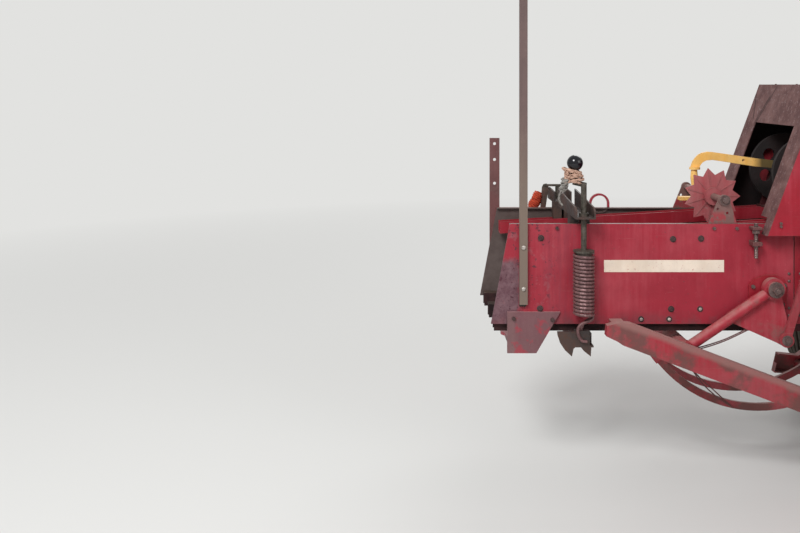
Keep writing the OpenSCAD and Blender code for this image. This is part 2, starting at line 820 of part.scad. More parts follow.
module hood() {
    ya = yr - hood_out;
    yb = yl + hood_out;
    xb = rear_x + hood_dx;
    zb = zt - 34;
    zh = zt + hood_up;
    lean = 0.368;
    xt = xb + (zh - zb) * lean;
    xf = rear_x + hood_end_dx;
    zl = zt + 345;                // lower edge of the rear panel
    zm = zt + 24;                 // the inner flanges start above the case
    fl = 0.45;                    // how far down the front panel reaches
    prof = [[xb, zb], [xt, zh], [xf, zh], [xf + 60, zb + 40], [xf + 60, zb]];
    color(red) {
        for (y = [ya, yb - 4])
            difference() {
                plate_y(y, 4) polygon(prof);
                rod_y(hp_x, hp_z, y - 1, y + 5, 10 + fit);
            }
        box(xt, xf, ya + 4, yb - 4, zh - 4, zh);
        // sloped front panel, open at its lower part
        plate_y(ya + 4, yl - ya - 4)
            polygon([[xf, zh], [xf + 60 * fl, zh + (zb + 40 - zh) * fl],
                [xf + 60 * fl - 4, zh + (zb + 40 - zh) * fl], [xf - 4, zh]]);
    }
    // rear panel with the bent flanges along the open rear, one sloped sheet
    color(brown)
        difference() {
            plate_y(ya + 4, yb - ya - 8)
                polygon([[xb, zb], [xt, zh], [xt + 5, zh], [xb + 5, zb]]);
            box(xb - 10, xt, ya + 46, yb - 46, zb - 10, zm);
            box(xb - 10, xt, ya + 104, yb - 104, zb - 10, zl);
        }
}

module drive_guard() {
    y0 = yl + 6;
    gx = case_x1 + 160;
    gz = drive_z;
    outl = concat(
        [for (a = [100 : 32 : 260]) [shaft_x, shaft_z] + 92 * [cos(a), sin(a)]],
        [for (a = [-96 : 32 : 64]) [gx, gz] + 98 * [cos(a), sin(a)]],
        [[gx, gz] + 98 * [cos(84), sin(84)]]
    );
    color(red) {
        difference() {
            plate_y(y0, 42)
                polygon([for (p = outl) p]);
            plate_y(y0 - 1, 40)
                polygon([for (p = outl) let (
                        f = p[0] < 0 ? [shaft_x, shaft_z] : [gx, gz]) f + (p - f) * 0.955]);
        }
        for (x = [seam_x + 320, feed_x1 + 60]) {
            zg = shaft_z - 92 + (x - shaft_x) * (gz - 98 - shaft_z + 92) / (gx - shaft_x);
            box(x, x + 30, yl, y0, zt - 90, max(zg + 40, zt));
        }
    }
}

// Wheels

module axle() {
    x0 = axle_x - beam_w / 2;
    x1 = axle_x + beam_w / 2;
    yb = lty1 - left_tyre_w - 60;
    ya = rty0 + right_tyre_w + 20;
    z1 = beam_z1;
    color(brown) {
        box(x0, x1, ya, yb, z1 - beam_h, z1);
        box(x0, x1, yb, yb + 30, ltz - 40, z1);
        box(x0, x1, ya, ya + 30, rtz - 40, z1);
        both_sides()
            box(x0, x1, yri, yri + rail_w, z1, z0 - rail_h);
        for (y = [table_y0 + 60, brace_y])
            box(x0, x1, y, y + 60, z1, z0);
        rod_y(axle_x, ltz, yb + 20, lty1 - 62, stub_d / 2);
        rod_y(axle_x, rtz, rty0 + 32, ya + 10, stub_d / 2);
    }
}

// a ribbed implement tyre, its middle at the origin, its axis along Y
module tyre(d, w, rim_d) {
    r = d / 2;
    b = rim_d / 2;
    g = w / 13;
    t = w * 0.24;
    half = [[b, w * 0.36], [b + 14, w * 0.36], [b + 20, w * 0.42], [b + (r - b) * 0.45, w / 2],
        [b + (r - b) * 0.7, w / 2], [r - 16, w * 0.45], [r - 5, w * 0.37], [r - 2, t],
        [r - 12, t - 3], [r - 12, t - g + 3], [r, t - g], [r, g / 2], [r - 12, g / 2 - 3]];
    color(black)
        rotate([90, 0, 0])
            rotate_extrude($fn = 96)
                polygon(concat([for (p = half) [p[0], -p[1]]],
                    [for (i = [len(half) - 1 : -1 : 0]) half[i]]));
}

// a pressed disc wheel with its hub; s is the outer side, +1 to the left
module rim(rim_d, w, s, hub_in, hub_out) {
    b = rim_d / 2;
    h = w * 0.36;
    color(red)
        rotate([90, 0, 0])
            mirror([0, 0, s > 0 ? 1 : 0])
                difference() {
                    rotate_extrude($fn = 96)
                        polygon([[stub_d / 2 + fit, -hub_in], [48, -hub_in], [48, 0], [82, 2],
                            [b * 0.72, 18], [b - 22, -14], [b - 12, -h], [b + 12, -h - 6],
                            [b + 12, -h - seat], [b - seat, -h - seat],
                            [b - seat, h + seat], [b + 12, h + seat], [b + 12, h + 6],
                            [b - 12, h], [b - 12, -8], [b - 22, -4], [b * 0.72, 26], [82, 12],
                            [44, 12], [44, hub_out], [stub_d / 2 + fit, hub_out]]);
                    for (a = [0 : 60 : 300])
                        rotate([0, 0, a])
                            translate([b * 0.6, 0, 0])
                                cylinder(h = 60, r = 11, center = true, $fn = 24);
                }
}

lrim_d = 381;
rrim_d = 305;
module left_tyre() {
    translate([axle_x, lty1 - left_tyre_w / 2, ltz]) tyre(left_tyre_d, left_tyre_w, lrim_d);
}
module left_rim() {
    translate([axle_x, lty1 - left_tyre_w / 2, ltz])
        rim(lrim_d, left_tyre_w, 1, left_tyre_w / 2 + 24, left_tyre_w / 2 - 60);
}
module right_tyre() {
    translate([axle_x, rty0 + right_tyre_w / 2, rtz]) tyre(right_tyre_d, right_tyre_w, rrim_d);
}
module right_rim() {
    translate([axle_x, rty0 + right_tyre_w / 2, rtz])
        rim(rrim_d, right_tyre_w, -1, right_tyre_w / 2 + 14, right_tyre_w / 2 - 30);
}

// Feed table and pickup

module feed_table() {
    x0 = table_x0;
    x1 = table_x1;
    y0 = table_y0;
    color(red) {
        box(x0, x1, y0, yr, z0, z0 + sheet);
        box(x0, x0 + sheet, y0, yr - hood_out - 8, z0 + sheet, zt + 65);
        box(x0, x0 + sheet, yr - hood_out - 8, yr, z0 + sheet, zt - 42);
        difference() {
            plate_y(y0, sheet)
                polygon([[x0, z0 + sheet], [x1, z0 + sheet], [x1 + 40, z0 - 60],
                    [pk_x - 40, pk_z - 34], [pk_x + 34, pk_z - 34], [pk_x + 34, pk_z + 34],
                    [x1 + 40, z0 + 60], [x1 - 90, zt + 50], [x0, zt + 65]]);
            box(x0 - 1, x1, y0 - 1, y0 + sheet + 1, z0 - 100, z0);
        }
        rod_y(pk_x, pk_z, y0 + sheet, pk_y0 + pk_t + 6, pk_pin / 2);
        // left hinge bracket of the pickup, on the case's side
        plate_y(yr - 6, 6)
            polygon([[pk_x - 60, z0 + 70], [pk_x + 60, z0 + 70], [pk_x + 30, pk_z - 30],
                [pk_x - 30, pk_z - 30]]);
        rod_y(pk_x, pk_z, pk_y1 - pk_t - 6, yr - 6, pk_pin / 2);
    }
    color(brown)
        for (y = [y0 + 60, brace_y])
            box(x1 - 40, x1, y, y + 60, z0 - 40, z0);
}

module feed_cover() {
    x0 = table_x0;
    x1 = table_x1;
    t = 4;
    color(red)
        plate_y(table_y0, yr - hood_out - 8 - table_y0)
            polygon([[x0, zt + 65], [x0 + 60, zt + 135], [x1 - 180, zt + 135], [x1 - 60, zt + 60],
                [x1 - 60, zt + 60 - t], [x1 - 182, zt + 135 - t], [x0 + 62, zt + 135 - t],
                [x0 + t, zt + 65]]);
}

// overhead bar with packer fingers that pushes the hay into the case
module feeder_bar() {
    xb = table_x0 + 330;
    zb = zt + 20;
    gap0 = 160;
    gap1 = 86.5;
    pitch = (yr - 40 - gap1 - table_y0 - gap0) / 4;
    color(grey) {
        rod_y(xb, zb, table_y0 + sheet, yr - 40, 26);
        for (i = [0 : 4])
            for (s = [-22, 22]) {
                y = table_y0 + gap0 + i * pitch + s;
                bar([xb, y, zb], [xb + 20, y, z0 + 120], 9, 16);
                bar([xb + 20, y, z0 + 122], [xb + 52, y, z0 + 60], 7, 16);
            }
    }
    color(brown)
        box(xb - 14, xb + 14, yr - 40, yr, zb - 14, zb + 14);
}

module plunger() {
    color(brown) {
        box(feed_x1 + 10, feed_x1 + 22, yri + 8, yli - 8, z0 + floor_t, zt - 40);
        box(feed_x1 + 22, feed_x1 + 300, yri + 30, yli - 30, z0 + floor_t, z0 + floor_t + 60);
        box(feed_x1 + 22, feed_x1 + 300, yri + 30, yli - 30, zt - 110, zt - 50);
    }
}

module pickup_frame() {
    arm_x = gauge_x - 60;
    color(red) {
        for (y = [pk_y0, pk_y1 - pk_t])
            difference() {
                union() {
                    rod_y(reel_x, reel_z, y, y + pk_t, band_r + 12, 96);
                    plate_y(y, pk_t)
                        polygon([[pk_x - 30, pk_z - 34], [tail_x - 8, z0 - 40], [tail_x - 8, z0 + 20],
                            [wg_x - 30, wg_z + 20], [wg_x + 26, wg_z + 20], [reel_x + 40, z0 + 14],
                            [reel_x, reel_z], [reel_x - 130, reel_z - 190],
                            [reel_x - 252, reel_z - 110]]);
                }
                rod_y(pk_x, pk_z, y - 1, y + pk_t + 1, pk_pin / 2 + fit);
                rod_y(wg_x, wg_z, y - 1, y + pk_t + 1, 10 + fit);
                rod_y(reel_x, reel_z, y - 1, y + pk_t + 1, 20 + fit);
            }
        box(tail_x, tail_x + 26, pk_y0 + pk_t, pk_y1 - pk_t, reel_z + band_r - 26, reel_z + band_r - 6);
        rod_y(reel_x + (band_r + 20.2) * cos(-158), reel_z + (band_r + 20.2) * sin(-158),
            pk_y0 + pk_t, pk_y1 - pk_t, 20);
    }
    color(brown) {
        plate_y(pk_y0 - 12, 12)
            polygon([[arm_x - 40, reel_z + 20], [arm_x + 20, reel_z + 50],
                [gauge_x + 22, gauge_z + 6], [gauge_x + 10, gauge_z - 20],
                [gauge_x - 14, gauge_z - 16]]);
        rod_y(gauge_x, gauge_z, pk_y0 - 24 - gauge_w, pk_y0 - 6, 12);
    }
}

module stripper_bands() {
    span = pk_y1 - pk_y0 - 2 * pk_t - 2;
    pitch = (span + band_gap) / (band_gaps + 1);
    w = pitch - band_gap;
    color(red)
        for (i = [0 : band_gaps])
            plate_y(pk_y0 + pk_t + 1 + i * pitch, w)
                polygon(concat(
                    [[tail_x, reel_z + band_r]],
                    [for (a = [90 : -10 : -160]) [reel_x, reel_z] + band_r * [cos(a), sin(a)]],
                    [for (a = [-160 : 10 : 90]) [reel_x, reel_z] + (band_r - 6) * [cos(a), sin(a)]],
                    [[tail_x, reel_z + band_r - 6]]
                ));
}

module pickup_reel() {
    y0 = pk_y0 + pk_t;
    y1 = pk_y1 - pk_t;
    span = pk_y1 - pk_y0 - 2 * pk_t - 2;
    pitch = (span + band_gap) / (band_gaps + 1);
    w = pitch - band_gap;
    br = 140;
    color(grey) {
        rod_y(reel_x, reel_z, pk_y0 + 1, y1 + pk_t + 4, 20);
        for (y = [y0 + 30, (y0 + y1) / 2 - 4, y1 - 38])
            rod_y(reel_x, reel_z, y, y + 8, br + 16);
        for (k = [0 : 3]) {
            ax = reel_x + br * cos(45 + 90 * k);
            az = reel_z + br * sin(45 + 90 * k);
            tx = reel_x + tine_r * cos(38 + 90 * k);
            tz = reel_z + tine_r * sin(38 + 90 * k);
            rod_y(ax, az, y0 + 20, y1 - 20, 11, 24);
            for (i = [0 : band_gaps - 1]) {
                y = y0 + 1 + w + band_gap / 2 + i * pitch;
                bar([ax, y, az], [tx, y, tz], 4, 8);
            }
        }
    }
}

module wind_guard() {
    y0 = pk_y0 + pk_t + 4;
    y1 = pk_y1 - pk_t - 4;
    color(grey) {
        rod_y(wg_x, wg_z, y0, y1, 15);
        rod_y(wg_x, wg_z, pk_y0 - 3, y0 + 2, 10);
        rod_y(wg_x, wg_z, y1 - 2, pk_y1 + 3, 10);
        for (i = [0 : 8]) {
            y = y0 + 40 + i * (y1 - y0 - 80) / 8;
            bar([wg_x, y, wg_z], [wg_x + 400, y, wg_z - 90], 5, 16);
            bar([wg_x + 398, y, wg_z - 88], [wg_x + 450, y, wg_z - 150], 5, 16);
        }
        rod_y(wg_x + 200, wg_z - 37, y0 + 30, y1 - 30, 6, 24);
    }
}

module gauge_wheel() {
    r = gauge_d / 2;
    ym = pk_y0 - 20 - gauge_w / 2;
    color(black)
        difference() {
            rod_y(gauge_x, gauge_z, ym - gauge_w / 2, ym + gauge_w / 2, r, 96);
            rod_y(gauge_x, gauge_z, ym - gauge_w / 2 - 1, ym - 10, r - 50, 64);
            rod_y(gauge_x, gauge_z, ym + 10, ym + gauge_w / 2 + 1, r - 50, 64);
            rod_y(gauge_x, gauge_z, ym - gauge_w, ym + gauge_w, 20, 64);
        }
    color(red)
        difference() {
            rod_y(gauge_x, gauge_z, ym - gauge_w / 2, ym + gauge_w / 2, 30);
            rod_y(gauge_x, gauge_z, ym - gauge_w, ym + gauge_w, 12 + fit);
        }
}

// Gearbox, flywheel and drawbar

module gearbox() {
    x0 = case_x1 + 50;
    x1 = case_x1 + 330;
    c = chamber_cy;
    color(red) {
        difference() {
            box(x0, x1, c - 150, c + 150, ff_z1 + 30, drive_z + 110);
            box(x0 - 1, x0 + 40, c - 151, c + 151, drive_z + 60, drive_z + 111);
        }
        box(x0 - 30, x1 + 20, c - ff_y - ff_w, c + ff_y + ff_w, ff_z1, ff_z1 + 30);
        rod_x(c, drive_z, x1, x1 + 34, 78);
        rod_y(case_x1 + 160, drive_z, c - 190, c + 190, 90);
    }
    color(grey) {
        rod_x(c, drive_z, x1 + 34, fly_x + fly_w / 2 + 10, 30);
        rod_y(case_x1 + 160, drive_z, c + 190, yl + 40, 25);
    }
}

module flywheel() {
    r = fly_d / 2;
    c = chamber_cy;
    x0 = fly_x - fly_w / 2;
    color(red)
        difference() {
            union() {
                difference() {
                    rod_x(c, drive_z, x0, x0 + fly_w, r, 96);
                    rod_x(c, drive_z, x0 - 1, x0 + fly_w / 2 - 9, r - 46, 96);
                    rod_x(c, drive_z, x0 + fly_w / 2 + 9, x0 + fly_w + 1, r - 46, 96);
                }
                rod_x(c, drive_z, x0 - 9, x0 + fly_w + 14, 62);
            }
            rod_x(c, drive_z, x0 - 13, x0 + fly_w + 10, 30 + fit);
            for (a = [0 : 72 : 288])
                rod_x(c + r * 0.52 * cos(a), drive_z + r * 0.52 * sin(a), x0, x0 + fly_w, r * 0.15);
        }
    color(grey)
        rod_x(c, drive_z, x0 + fly_w + 14, fly_x + 122, 34);
}

module flywheel_shield() {
    r = fly_d / 2 + 16;
    c = chamber_cy;
    x0 = case_x1 + 330;
    x1 = fly_x + fly_w / 2 + 16;
    color(red) {
        difference() {
            rod_x(c, drive_z, x0 + 10, x1, r + 4, 96);
            rod_x(c, drive_z, x0 + 9, x1 + 1, r, 96);
            box(x0, x1 + 1, c - r - 9, c + r + 9, drive_z - r - 9, drive_z + 40);
        }
        difference() {
            rod_x(c, drive_z, x0, x0 + 10, r + 4, 96);
            rod_x(c, drive_z, x0 - 1, x0 + 11, 80, 96);
            box(x0 - 1, x0 + 11, c - r - 9, c + r + 9, drive_z - r - 9, drive_z + 40);
        }
    }
}

module front_frame() {
    c = chamber_cy;
    x0 = case_x1 - 430;
    x1 = tp_x - 30;
    color(brown) {
        both_sides()
            difference() {
                box(x0, x1, c - ff_y - ff_w, c - ff_y, ff_z0, ff_z1);
                box(x0 - 1, x1 + 1, c - ff_y - ff_w - 1, c - ff_y - 6, ff_z0 + 6, ff_z1 - 6);
            }
        for (x = [x0, case_x1 - 60])
            box(x, x + 50, yri, yli, ff_z0 + 6, ff_z1 - 6);
        both_sides()
            for (x = [x0, case_x1 - 60])
                box(x, x + 50, yri, yri + rail_w, ff_z1 - 6, ff_z1);
        for (z = [ff_z1, ff_z0 - 12])
            difference() {
                union() {
                    box(tp_x - 110, tp_x, c - ff_y - ff_w, c + ff_y + ff_w, z, z + 12);
                    rod_z(tp_x, c, z, z + 12, 70);
                }
            }
        box(tp_x - 110, tp_x - 104, c - ff_y, c + ff_y, ff_z0, ff_z1);
    }
    color(grey) {
        rod_z(tp_x, c, ff_z0 - 24, ff_z1 + 24, tp_pin / 2);
        rod_z(tp_x, c, ff_z1 + 12, ff_z1 + 24, tp_pin / 2 + 12);
    }
}

module tongue() {
    c = chamber_cy;
    w = tongue_w / 2;
    x1 = nose_x - 150;
    z0t = tz - th / 2;
    z1t = tz + th / 2;
    hx = nose_x - 50;
    color(red) {
        difference() {
            union() {
                rod_z(tp_x, c, z0t, z1t, 62);
                box(tp_x, x1, c - w, c + w, z0t, z1t);
            }
            rod_z(tp_x, c, z0t - 1, z1t + 1, tp_pin / 2 + fit);
            box(tp_x + 90, x1 + 1, c - w + 8, c + w - 8, z0t + 8, z1t - 8);
        }
        // hitch clevis
        for (z = [z0t - 8, z1t - 14])
            difference() {
                union() {
                    box(x1 - 60, hx, c - 50, c + 50, z, z + 22);
                    rod_z(hx, c, z, z + 22, 50);
                }
                rod_z(hx, c, z - 1, z + 23, hitch_d / 2);
            }
        // stand that carries the drive shaft
        difference() {
            box(tp_x + 786, tp_x + 804, c - 56, c + 56, z1t - 2, shaft_under(795) + 40);
            box(tp_x + 785, tp_x + 805, c - 34, c + 34, z1t + 30, shaft_under(795) - 24);
            pto_place()
                translate([0, 0, 700]) cylinder(h = 200, r = 42 + seat, $fn = 64);
        }
        // stub that the jack swivels on
        box(jack_x - 50, jack_x + 50, c + w, c + w + 8, z0t, z1t);
    }
    color(grey)
        rod_y(jack_x, tz, c + w, jack_y - 30, 20);
}

// lower edge of the drive shaft's guard at a distance ahead of its joint
function shaft_under(d) = drive_z - d * tan(pto_slope) - 42;

module pto_place() {
    translate([tp_x, chamber_cy, drive_z])
        rotate([0, 90 + pto_slope, 0]) children();
}

module pto_guard() {
    color(black)
        pto_place()
            difference() {
                union() {
                    translate([0, 0, -40]) cylinder(h = 90, r = 86, $fn = 64);
                    translate([0, 0, 50]) cylinder(h = 50, r1 = 86, r2 = 42, $fn = 64);
                    translate([0, 0, 100]) cylinder(h = pto_len - 260, r = 42, $fn = 64);
                    translate([0, 0, pto_len - 160]) cylinder(h = 70, r1 = 42, r2 = 72, $fn = 64);
                }
                translate([0, 0, -41]) cylinder(h = 91, r = 81, $fn = 64);
                translate([0, 0, 49]) cylinder(h = 50, r1 = 81, r2 = 36, $fn = 64);
                translate([0, 0, 98]) cylinder(h = 32, r = 36, $fn = 64);
                translate([0, 0, 129]) cylinder(h = 30, r = 24 + seat, $fn = 64);
                translate([0, 0, 158]) cylinder(h = pto_len - 310, r = 36, $fn = 64);
                translate([0, 0, pto_len - 158]) cylinder(h = 70, r1 = 36, r2 = 68, $fn = 64);
            }
}

module pto_yoke() {
    color(grey)
        pto_place() {
            difference() {
                union() {
                    cylinder(h = pto_len - 150, r = 24, $fn = 48);
                    translate([0, 0, 60]) cylinder(h = 24, r = 36, $fn = 48);
                    translate([0, -34, -24]) cube([68 - 34, 68, 12]);
                    translate([-34, -34, -24]) cube([68, 12, 84]);
                    translate([-34, 22, -24]) cube([68, 12, 84]);
                }
                translate([-40, -22, -30]) cube([80, 44, 86]);
            }
            translate([0, 0, pto_len - 160]) {
                cylinder(h = 50, r = 34, $fn = 48);
                for (s = [-1, 1])
                    translate([s * 30 - 6, -22, 20]) cube([12, 44, 90]);
                translate([0, 0, 80]) rotate([0, 90, 0])
                    cylinder(h = 72, r = 12, center = true, $fn = 32);
                translate([-17, -17, 63]) cube([34, 34, 34]);
                for (s = [-1, 1])
                    translate([-22, s * 30 - 6, 60]) cube([44, 12, 60]);
                translate([0, 0, 80]) rotate([90, 0, 0])
                    cylinder(h = 72, r = 12, center = true, $fn = 32);
                difference() {
                    translate([0, 0, 110]) cylinder(h = 80, r = 36, $fn = 48);
                    translate([0, 0, 120]) cylinder(h = 71, r = pto_d / 2, $fn = 48);
                }
            }
        }
}

module jack_tube() {
    z1 = tz + 484;
    color(grey) {
        difference() {
            union() {
                rod_z(jack_x, jack_y, tz - 216, z1, 30);
                rod_y(jack_x, tz, chamber_cy + tongue_w / 2 + 10, jack_y - 20, 34);
            }
            rod_z(jack_x, jack_y, tz - 217, z1 - 12, 22 + fit);
            rod_y(jack_x, tz, chamber_cy + tongue_w / 2 + 9, jack_y - 30 + 0.3, 20 + fit);
        }
        rod_z(jack_x, jack_y, z1, z1 + 40, 36);
        rod_y(jack_x, z1 + 20, jack_y + 20, jack_y + 96, 9);
        rod_z(jack_x, jack_y + 90, z1 + 14, z1 + 110, 9);
    }
}

module jack_leg() {
    color(grey) {
        rod_z(jack_x, jack_y, 12, tz + 174, 22);
        box(jack_x - 75, jack_x + 75, jack_y - 75, jack_y + 75, 0, 12);
    }
}

// Twine box

module twine_box() {
    t = 4;
    color(red) {
        difference() {
            box(tb_x0, tb_x1, tb_y0, tb_y1, tb_z0, tb_z1);
            box(tb_x0 + t, tb_x1 - t, tb_y0 + t, tb_y1 - t, tb_z0 + t, tb_z1 + 1);
        }
        box((tb_x0 + tb_x1) / 2 - 3, (tb_x0 + tb_x1) / 2 + 3, tb_y0 + t, tb_y1 - t,
            tb_z0 + t, tb_z1 - 20);
        for (x = [tb_x0 + 80, tb_x1 - 120]) {
            box(x, x + 40, yl, tb_y1 - 20, tb_z0 - 30, tb_z0);
            box(x, x + 40, yl, yl + 6, tb_z0, tb_z0 + 120);
        }
        for (x = [tb_x0 + 60, tb_x1 - 100])
            difference() {
                box(x, x + 40, tb_y0 - 20, tb_y0, tb_z1 - 30, tb_z1 + 22);
                rod_x(tb_y0 - 10, tb_z1 + 12, x - 1, x + 41, 6 + fit);
            }
    }
}

module twine_lid() {
    t = 4;
    z = tb_z1 + seat;
    color(red) {
        box(tb_x0 - 6, tb_x1 + 6, tb_y0 + 4, tb_y1 + 6, z, z + t);
        for (x = [tb_x0 - 6, tb_x1 + 2])
            box(x, x + 4, tb_y0 + 4, tb_y1 + 6, z - 24, z);
        box(tb_x0 - 6, tb_x1 + 6, tb_y1 + 2, tb_y1 + 6, z - 24, z);
        for (x = [tb_x0 + 30, tb_x0 + 110, tb_x1 - 130, tb_x1 - 50])
            box(x, x + 20, tb_y0 - 10, tb_y0 + 14, z + 4, z + 16);
    }
    color(grey)
        rod_x(tb_y0 - 10, tb_z1 + 12, tb_x0 + 30, tb_x1 - 30, 6);
}

right_wall();
left_wall();
case_right();
chamber_floor();
top_rails();
tension_rails();
tension_cross();
tension_springs();
tension_cranks();
tall_post();
short_post();
hitch_plates();
meter_stand();
meter_wheel();
trip_arm();
knotter_frames();
knotter_shaft();
pivot_brackets();
needle_yoke();
needles();
needle_link();
needle_guard();
hood();
axle();
left_tyre();
left_rim();
right_tyre();
right_rim();
feed_table();
feed_cover();
feeder_bar();
plunger();
pickup_frame();
stripper_bands();
pickup_reel();
wind_guard();
gauge_wheel();
gearbox();
flywheel();
flywheel_shield();
front_frame();
tongue();
pto_guard();
pto_yoke();
jack_tube();
jack_leg();
twine_box();
twine_lid();
drive_guard();
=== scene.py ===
import json
import random
from math import cos, hypot, pi, radians, sin, sqrt

import bmesh
import bpy
from mathutils import Matrix, Vector


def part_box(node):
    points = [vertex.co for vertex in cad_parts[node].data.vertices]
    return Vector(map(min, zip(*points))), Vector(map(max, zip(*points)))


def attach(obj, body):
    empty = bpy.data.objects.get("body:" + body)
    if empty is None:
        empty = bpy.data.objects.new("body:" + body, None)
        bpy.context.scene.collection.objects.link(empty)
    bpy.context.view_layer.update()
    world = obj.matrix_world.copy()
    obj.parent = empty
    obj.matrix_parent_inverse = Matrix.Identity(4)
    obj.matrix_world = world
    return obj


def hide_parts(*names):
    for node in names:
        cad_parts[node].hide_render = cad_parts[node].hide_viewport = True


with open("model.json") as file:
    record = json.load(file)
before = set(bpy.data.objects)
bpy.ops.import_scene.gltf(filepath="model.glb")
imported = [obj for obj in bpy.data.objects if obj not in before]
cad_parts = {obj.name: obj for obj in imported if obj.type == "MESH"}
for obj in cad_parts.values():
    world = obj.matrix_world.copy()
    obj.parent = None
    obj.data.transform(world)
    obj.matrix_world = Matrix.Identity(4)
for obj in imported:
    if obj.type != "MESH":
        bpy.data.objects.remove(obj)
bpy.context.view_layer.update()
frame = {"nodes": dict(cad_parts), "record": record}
random.seed(7)
scene = bpy.context.scene


# Places in the CAD that materials and pieces start from, in metres

def box_of(name):
    """Low and high corner of a CAD node."""
    lo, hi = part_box(name)
    return Vector(lo), Vector(hi)


X, Y, Z = Vector((1, 0, 0)), Vector((0, 1, 0)), Vector((0, 0, 1))
PLATE_LO, PLATE_HI = box_of("right_wall")  # the rear side plate that the photo shows
RX, YR, Z0 = PLATE_LO  # rear end, right outer face, underside
ZT = PLATE_HI.z  # top of the case
YL = box_of("left_wall")[1].y  # left outer face of the case
CASE_Y, CASE_HALF = (YR + YL) / 2, (YL - YR) / 2
SIDES = ((YR, -1), (YL, 1))  # outer face and outward direction
PIVOT = Vector((RX + 0.992, 0, Z0 + 0.131))  # the needle yoke's pivot
HOOD_LO, HOOD_HI = box_of("hood")
HOOD_SIDES = ((HOOD_LO.y, -1), (HOOD_HI.y, 1))
HOOD_LEAN = 0.368  # how far the rear panel runs in x for each metre of height
KNOB_Z = 1.087  # the crank knobs' lower edge


# Colours, given as sRGB numbers from 0 to 255, and materials

def lin(c):
    """An sRGB colour in linear light."""
    parts = [v / 255.0 for v in c]
    return (*[v / 12.92 if v <= 0.04045 else ((v + 0.055) / 1.055) ** 2.4 for v in parts], 1.0)


def toned(c, factor, more=0):
    """The same colour darker or lighter."""
    return tuple(min(255, int(v * factor) + more) for v in c)


class Tree:
    """Small helper to wire the nodes of a material or the world."""

    def __init__(self, owner):
        owner.use_nodes = True
        self.t = owner.node_tree
        self.t.nodes.clear()

    def put(self, socket, value):
        """Link an output, or set a plain value on the socket."""
        if isinstance(value, bpy.types.NodeSocket):
            self.t.links.new(value, socket)
        else:
            socket.default_value = lin(value) if socket.type == "RGBA" else value

    def node(self, kind, inputs, **settings):
        """A shader node of a kind with these inputs and settings."""
        n = self.t.nodes.new("ShaderNode" + kind)
        for key, value in settings.items():
            setattr(n, key, value)
        for key, value in inputs.items():
            self.put(n.inputs[key], value)
        return n


class Nodes(Tree):
    """A material with a principled shader, patterned in object coordinates."""

    def __init__(self, name):
        self.mat = bpy.data.materials.new(name)
        super().__init__(self.mat)
        self.bsdf = self.node("BsdfPrincipled", {})
        self.out = self.node("OutputMaterial", {0: self.bsdf.outputs[0]})
        self.co = self.node("TexCoord", {}).outputs["Object"]
        self.normal = self.node("NewGeometry", {}).outputs["Normal"]

    def mapped(self, scale, rot=(0, 0, 0)):
        return self.node("Mapping", {"Vector": self.co, "Scale": scale, "Rotation": rot}).outputs[0]

    def noise(self, scale, detail, rough, vec=None, distort=0.0):
        n = self.node("TexNoise", {"Scale": scale, "Detail": detail, "Roughness": rough,
                                   "Distortion": distort, "Vector": vec or self.co})
        return n.outputs["Fac"]

    def ramp(self, fac, lo, hi, a=0.0, b=1.0):
        """a where fac is at lo, b where it is at hi, and straight between."""
        return self.node("MapRange", {"Value": fac, "From Min": lo, "From Max": hi,
                                      "To Min": a, "To Max": b}).outputs[0]

    def spots(self, scale, detail, rough, lo, hi, a=0.0, b=1.0, vec=None):
        """Patches: noise put through a ramp."""
        return self.ramp(self.noise(scale, detail, rough, vec), lo, hi, a, b)

    def math(self, op, a, b=0.0):
        return self.node("Math", {0: a, 1: b}, operation=op).outputs[0]

    def add(self, a, b):
        return self.math("ADD", a, b)

    def sub(self, a, b):
        return self.math("SUBTRACT", a, b)

    def mul(self, a, b):
        return self.math("MULTIPLY", a, b)

    def mix(self, fac, a, b):
        return self.node("Mix", {0: fac, 6: a, 7: b}, data_type="RGBA").outputs[2]

    def sep(self, vec=None):
        """x, y and z of the place, or of another vector."""
        return tuple(self.node("SeparateXYZ", {0: vec or self.co}).outputs)

    def up(self):
        """How far the surface looks up, 1 for a flat top."""
        return self.sep(self.normal)[2]

    def inside(self, v, lo, hi, soft):
        """1 where lo < v < hi, with soft ends."""
        return self.mul(self.ramp(v, lo - soft, lo), self.ramp(v, hi + soft, hi))

    def edges(self, radius):
        """1 on edges, 0 on flat faces."""
        bevel = self.node("Bevel", {"Radius": radius}, samples=4).outputs[0]
        dot = self.node("VectorMath", {0: bevel, 1: self.normal}, operation="DOT_PRODUCT")
        return self.ramp(dot.outputs["Value"], 0.995, 0.8)

    def bump(self, height, strength, dist=0.001):
        n = self.node("Bump", {"Strength": strength, "Distance": dist, "Height": height})
        self.put(self.bsdf.inputs["Normal"], n.outputs[0])

    def finish(self, colour, rough, metal=0.0, spec=0.5):
        """Set the shader's own inputs and give the material."""
        for key, value in (("Base Color", colour), ("Roughness", rough), ("Metallic", metal),
                           ("Specular IOR Level", spec)):
            self.put(self.bsdf.inputs[key], value)
        return self.mat


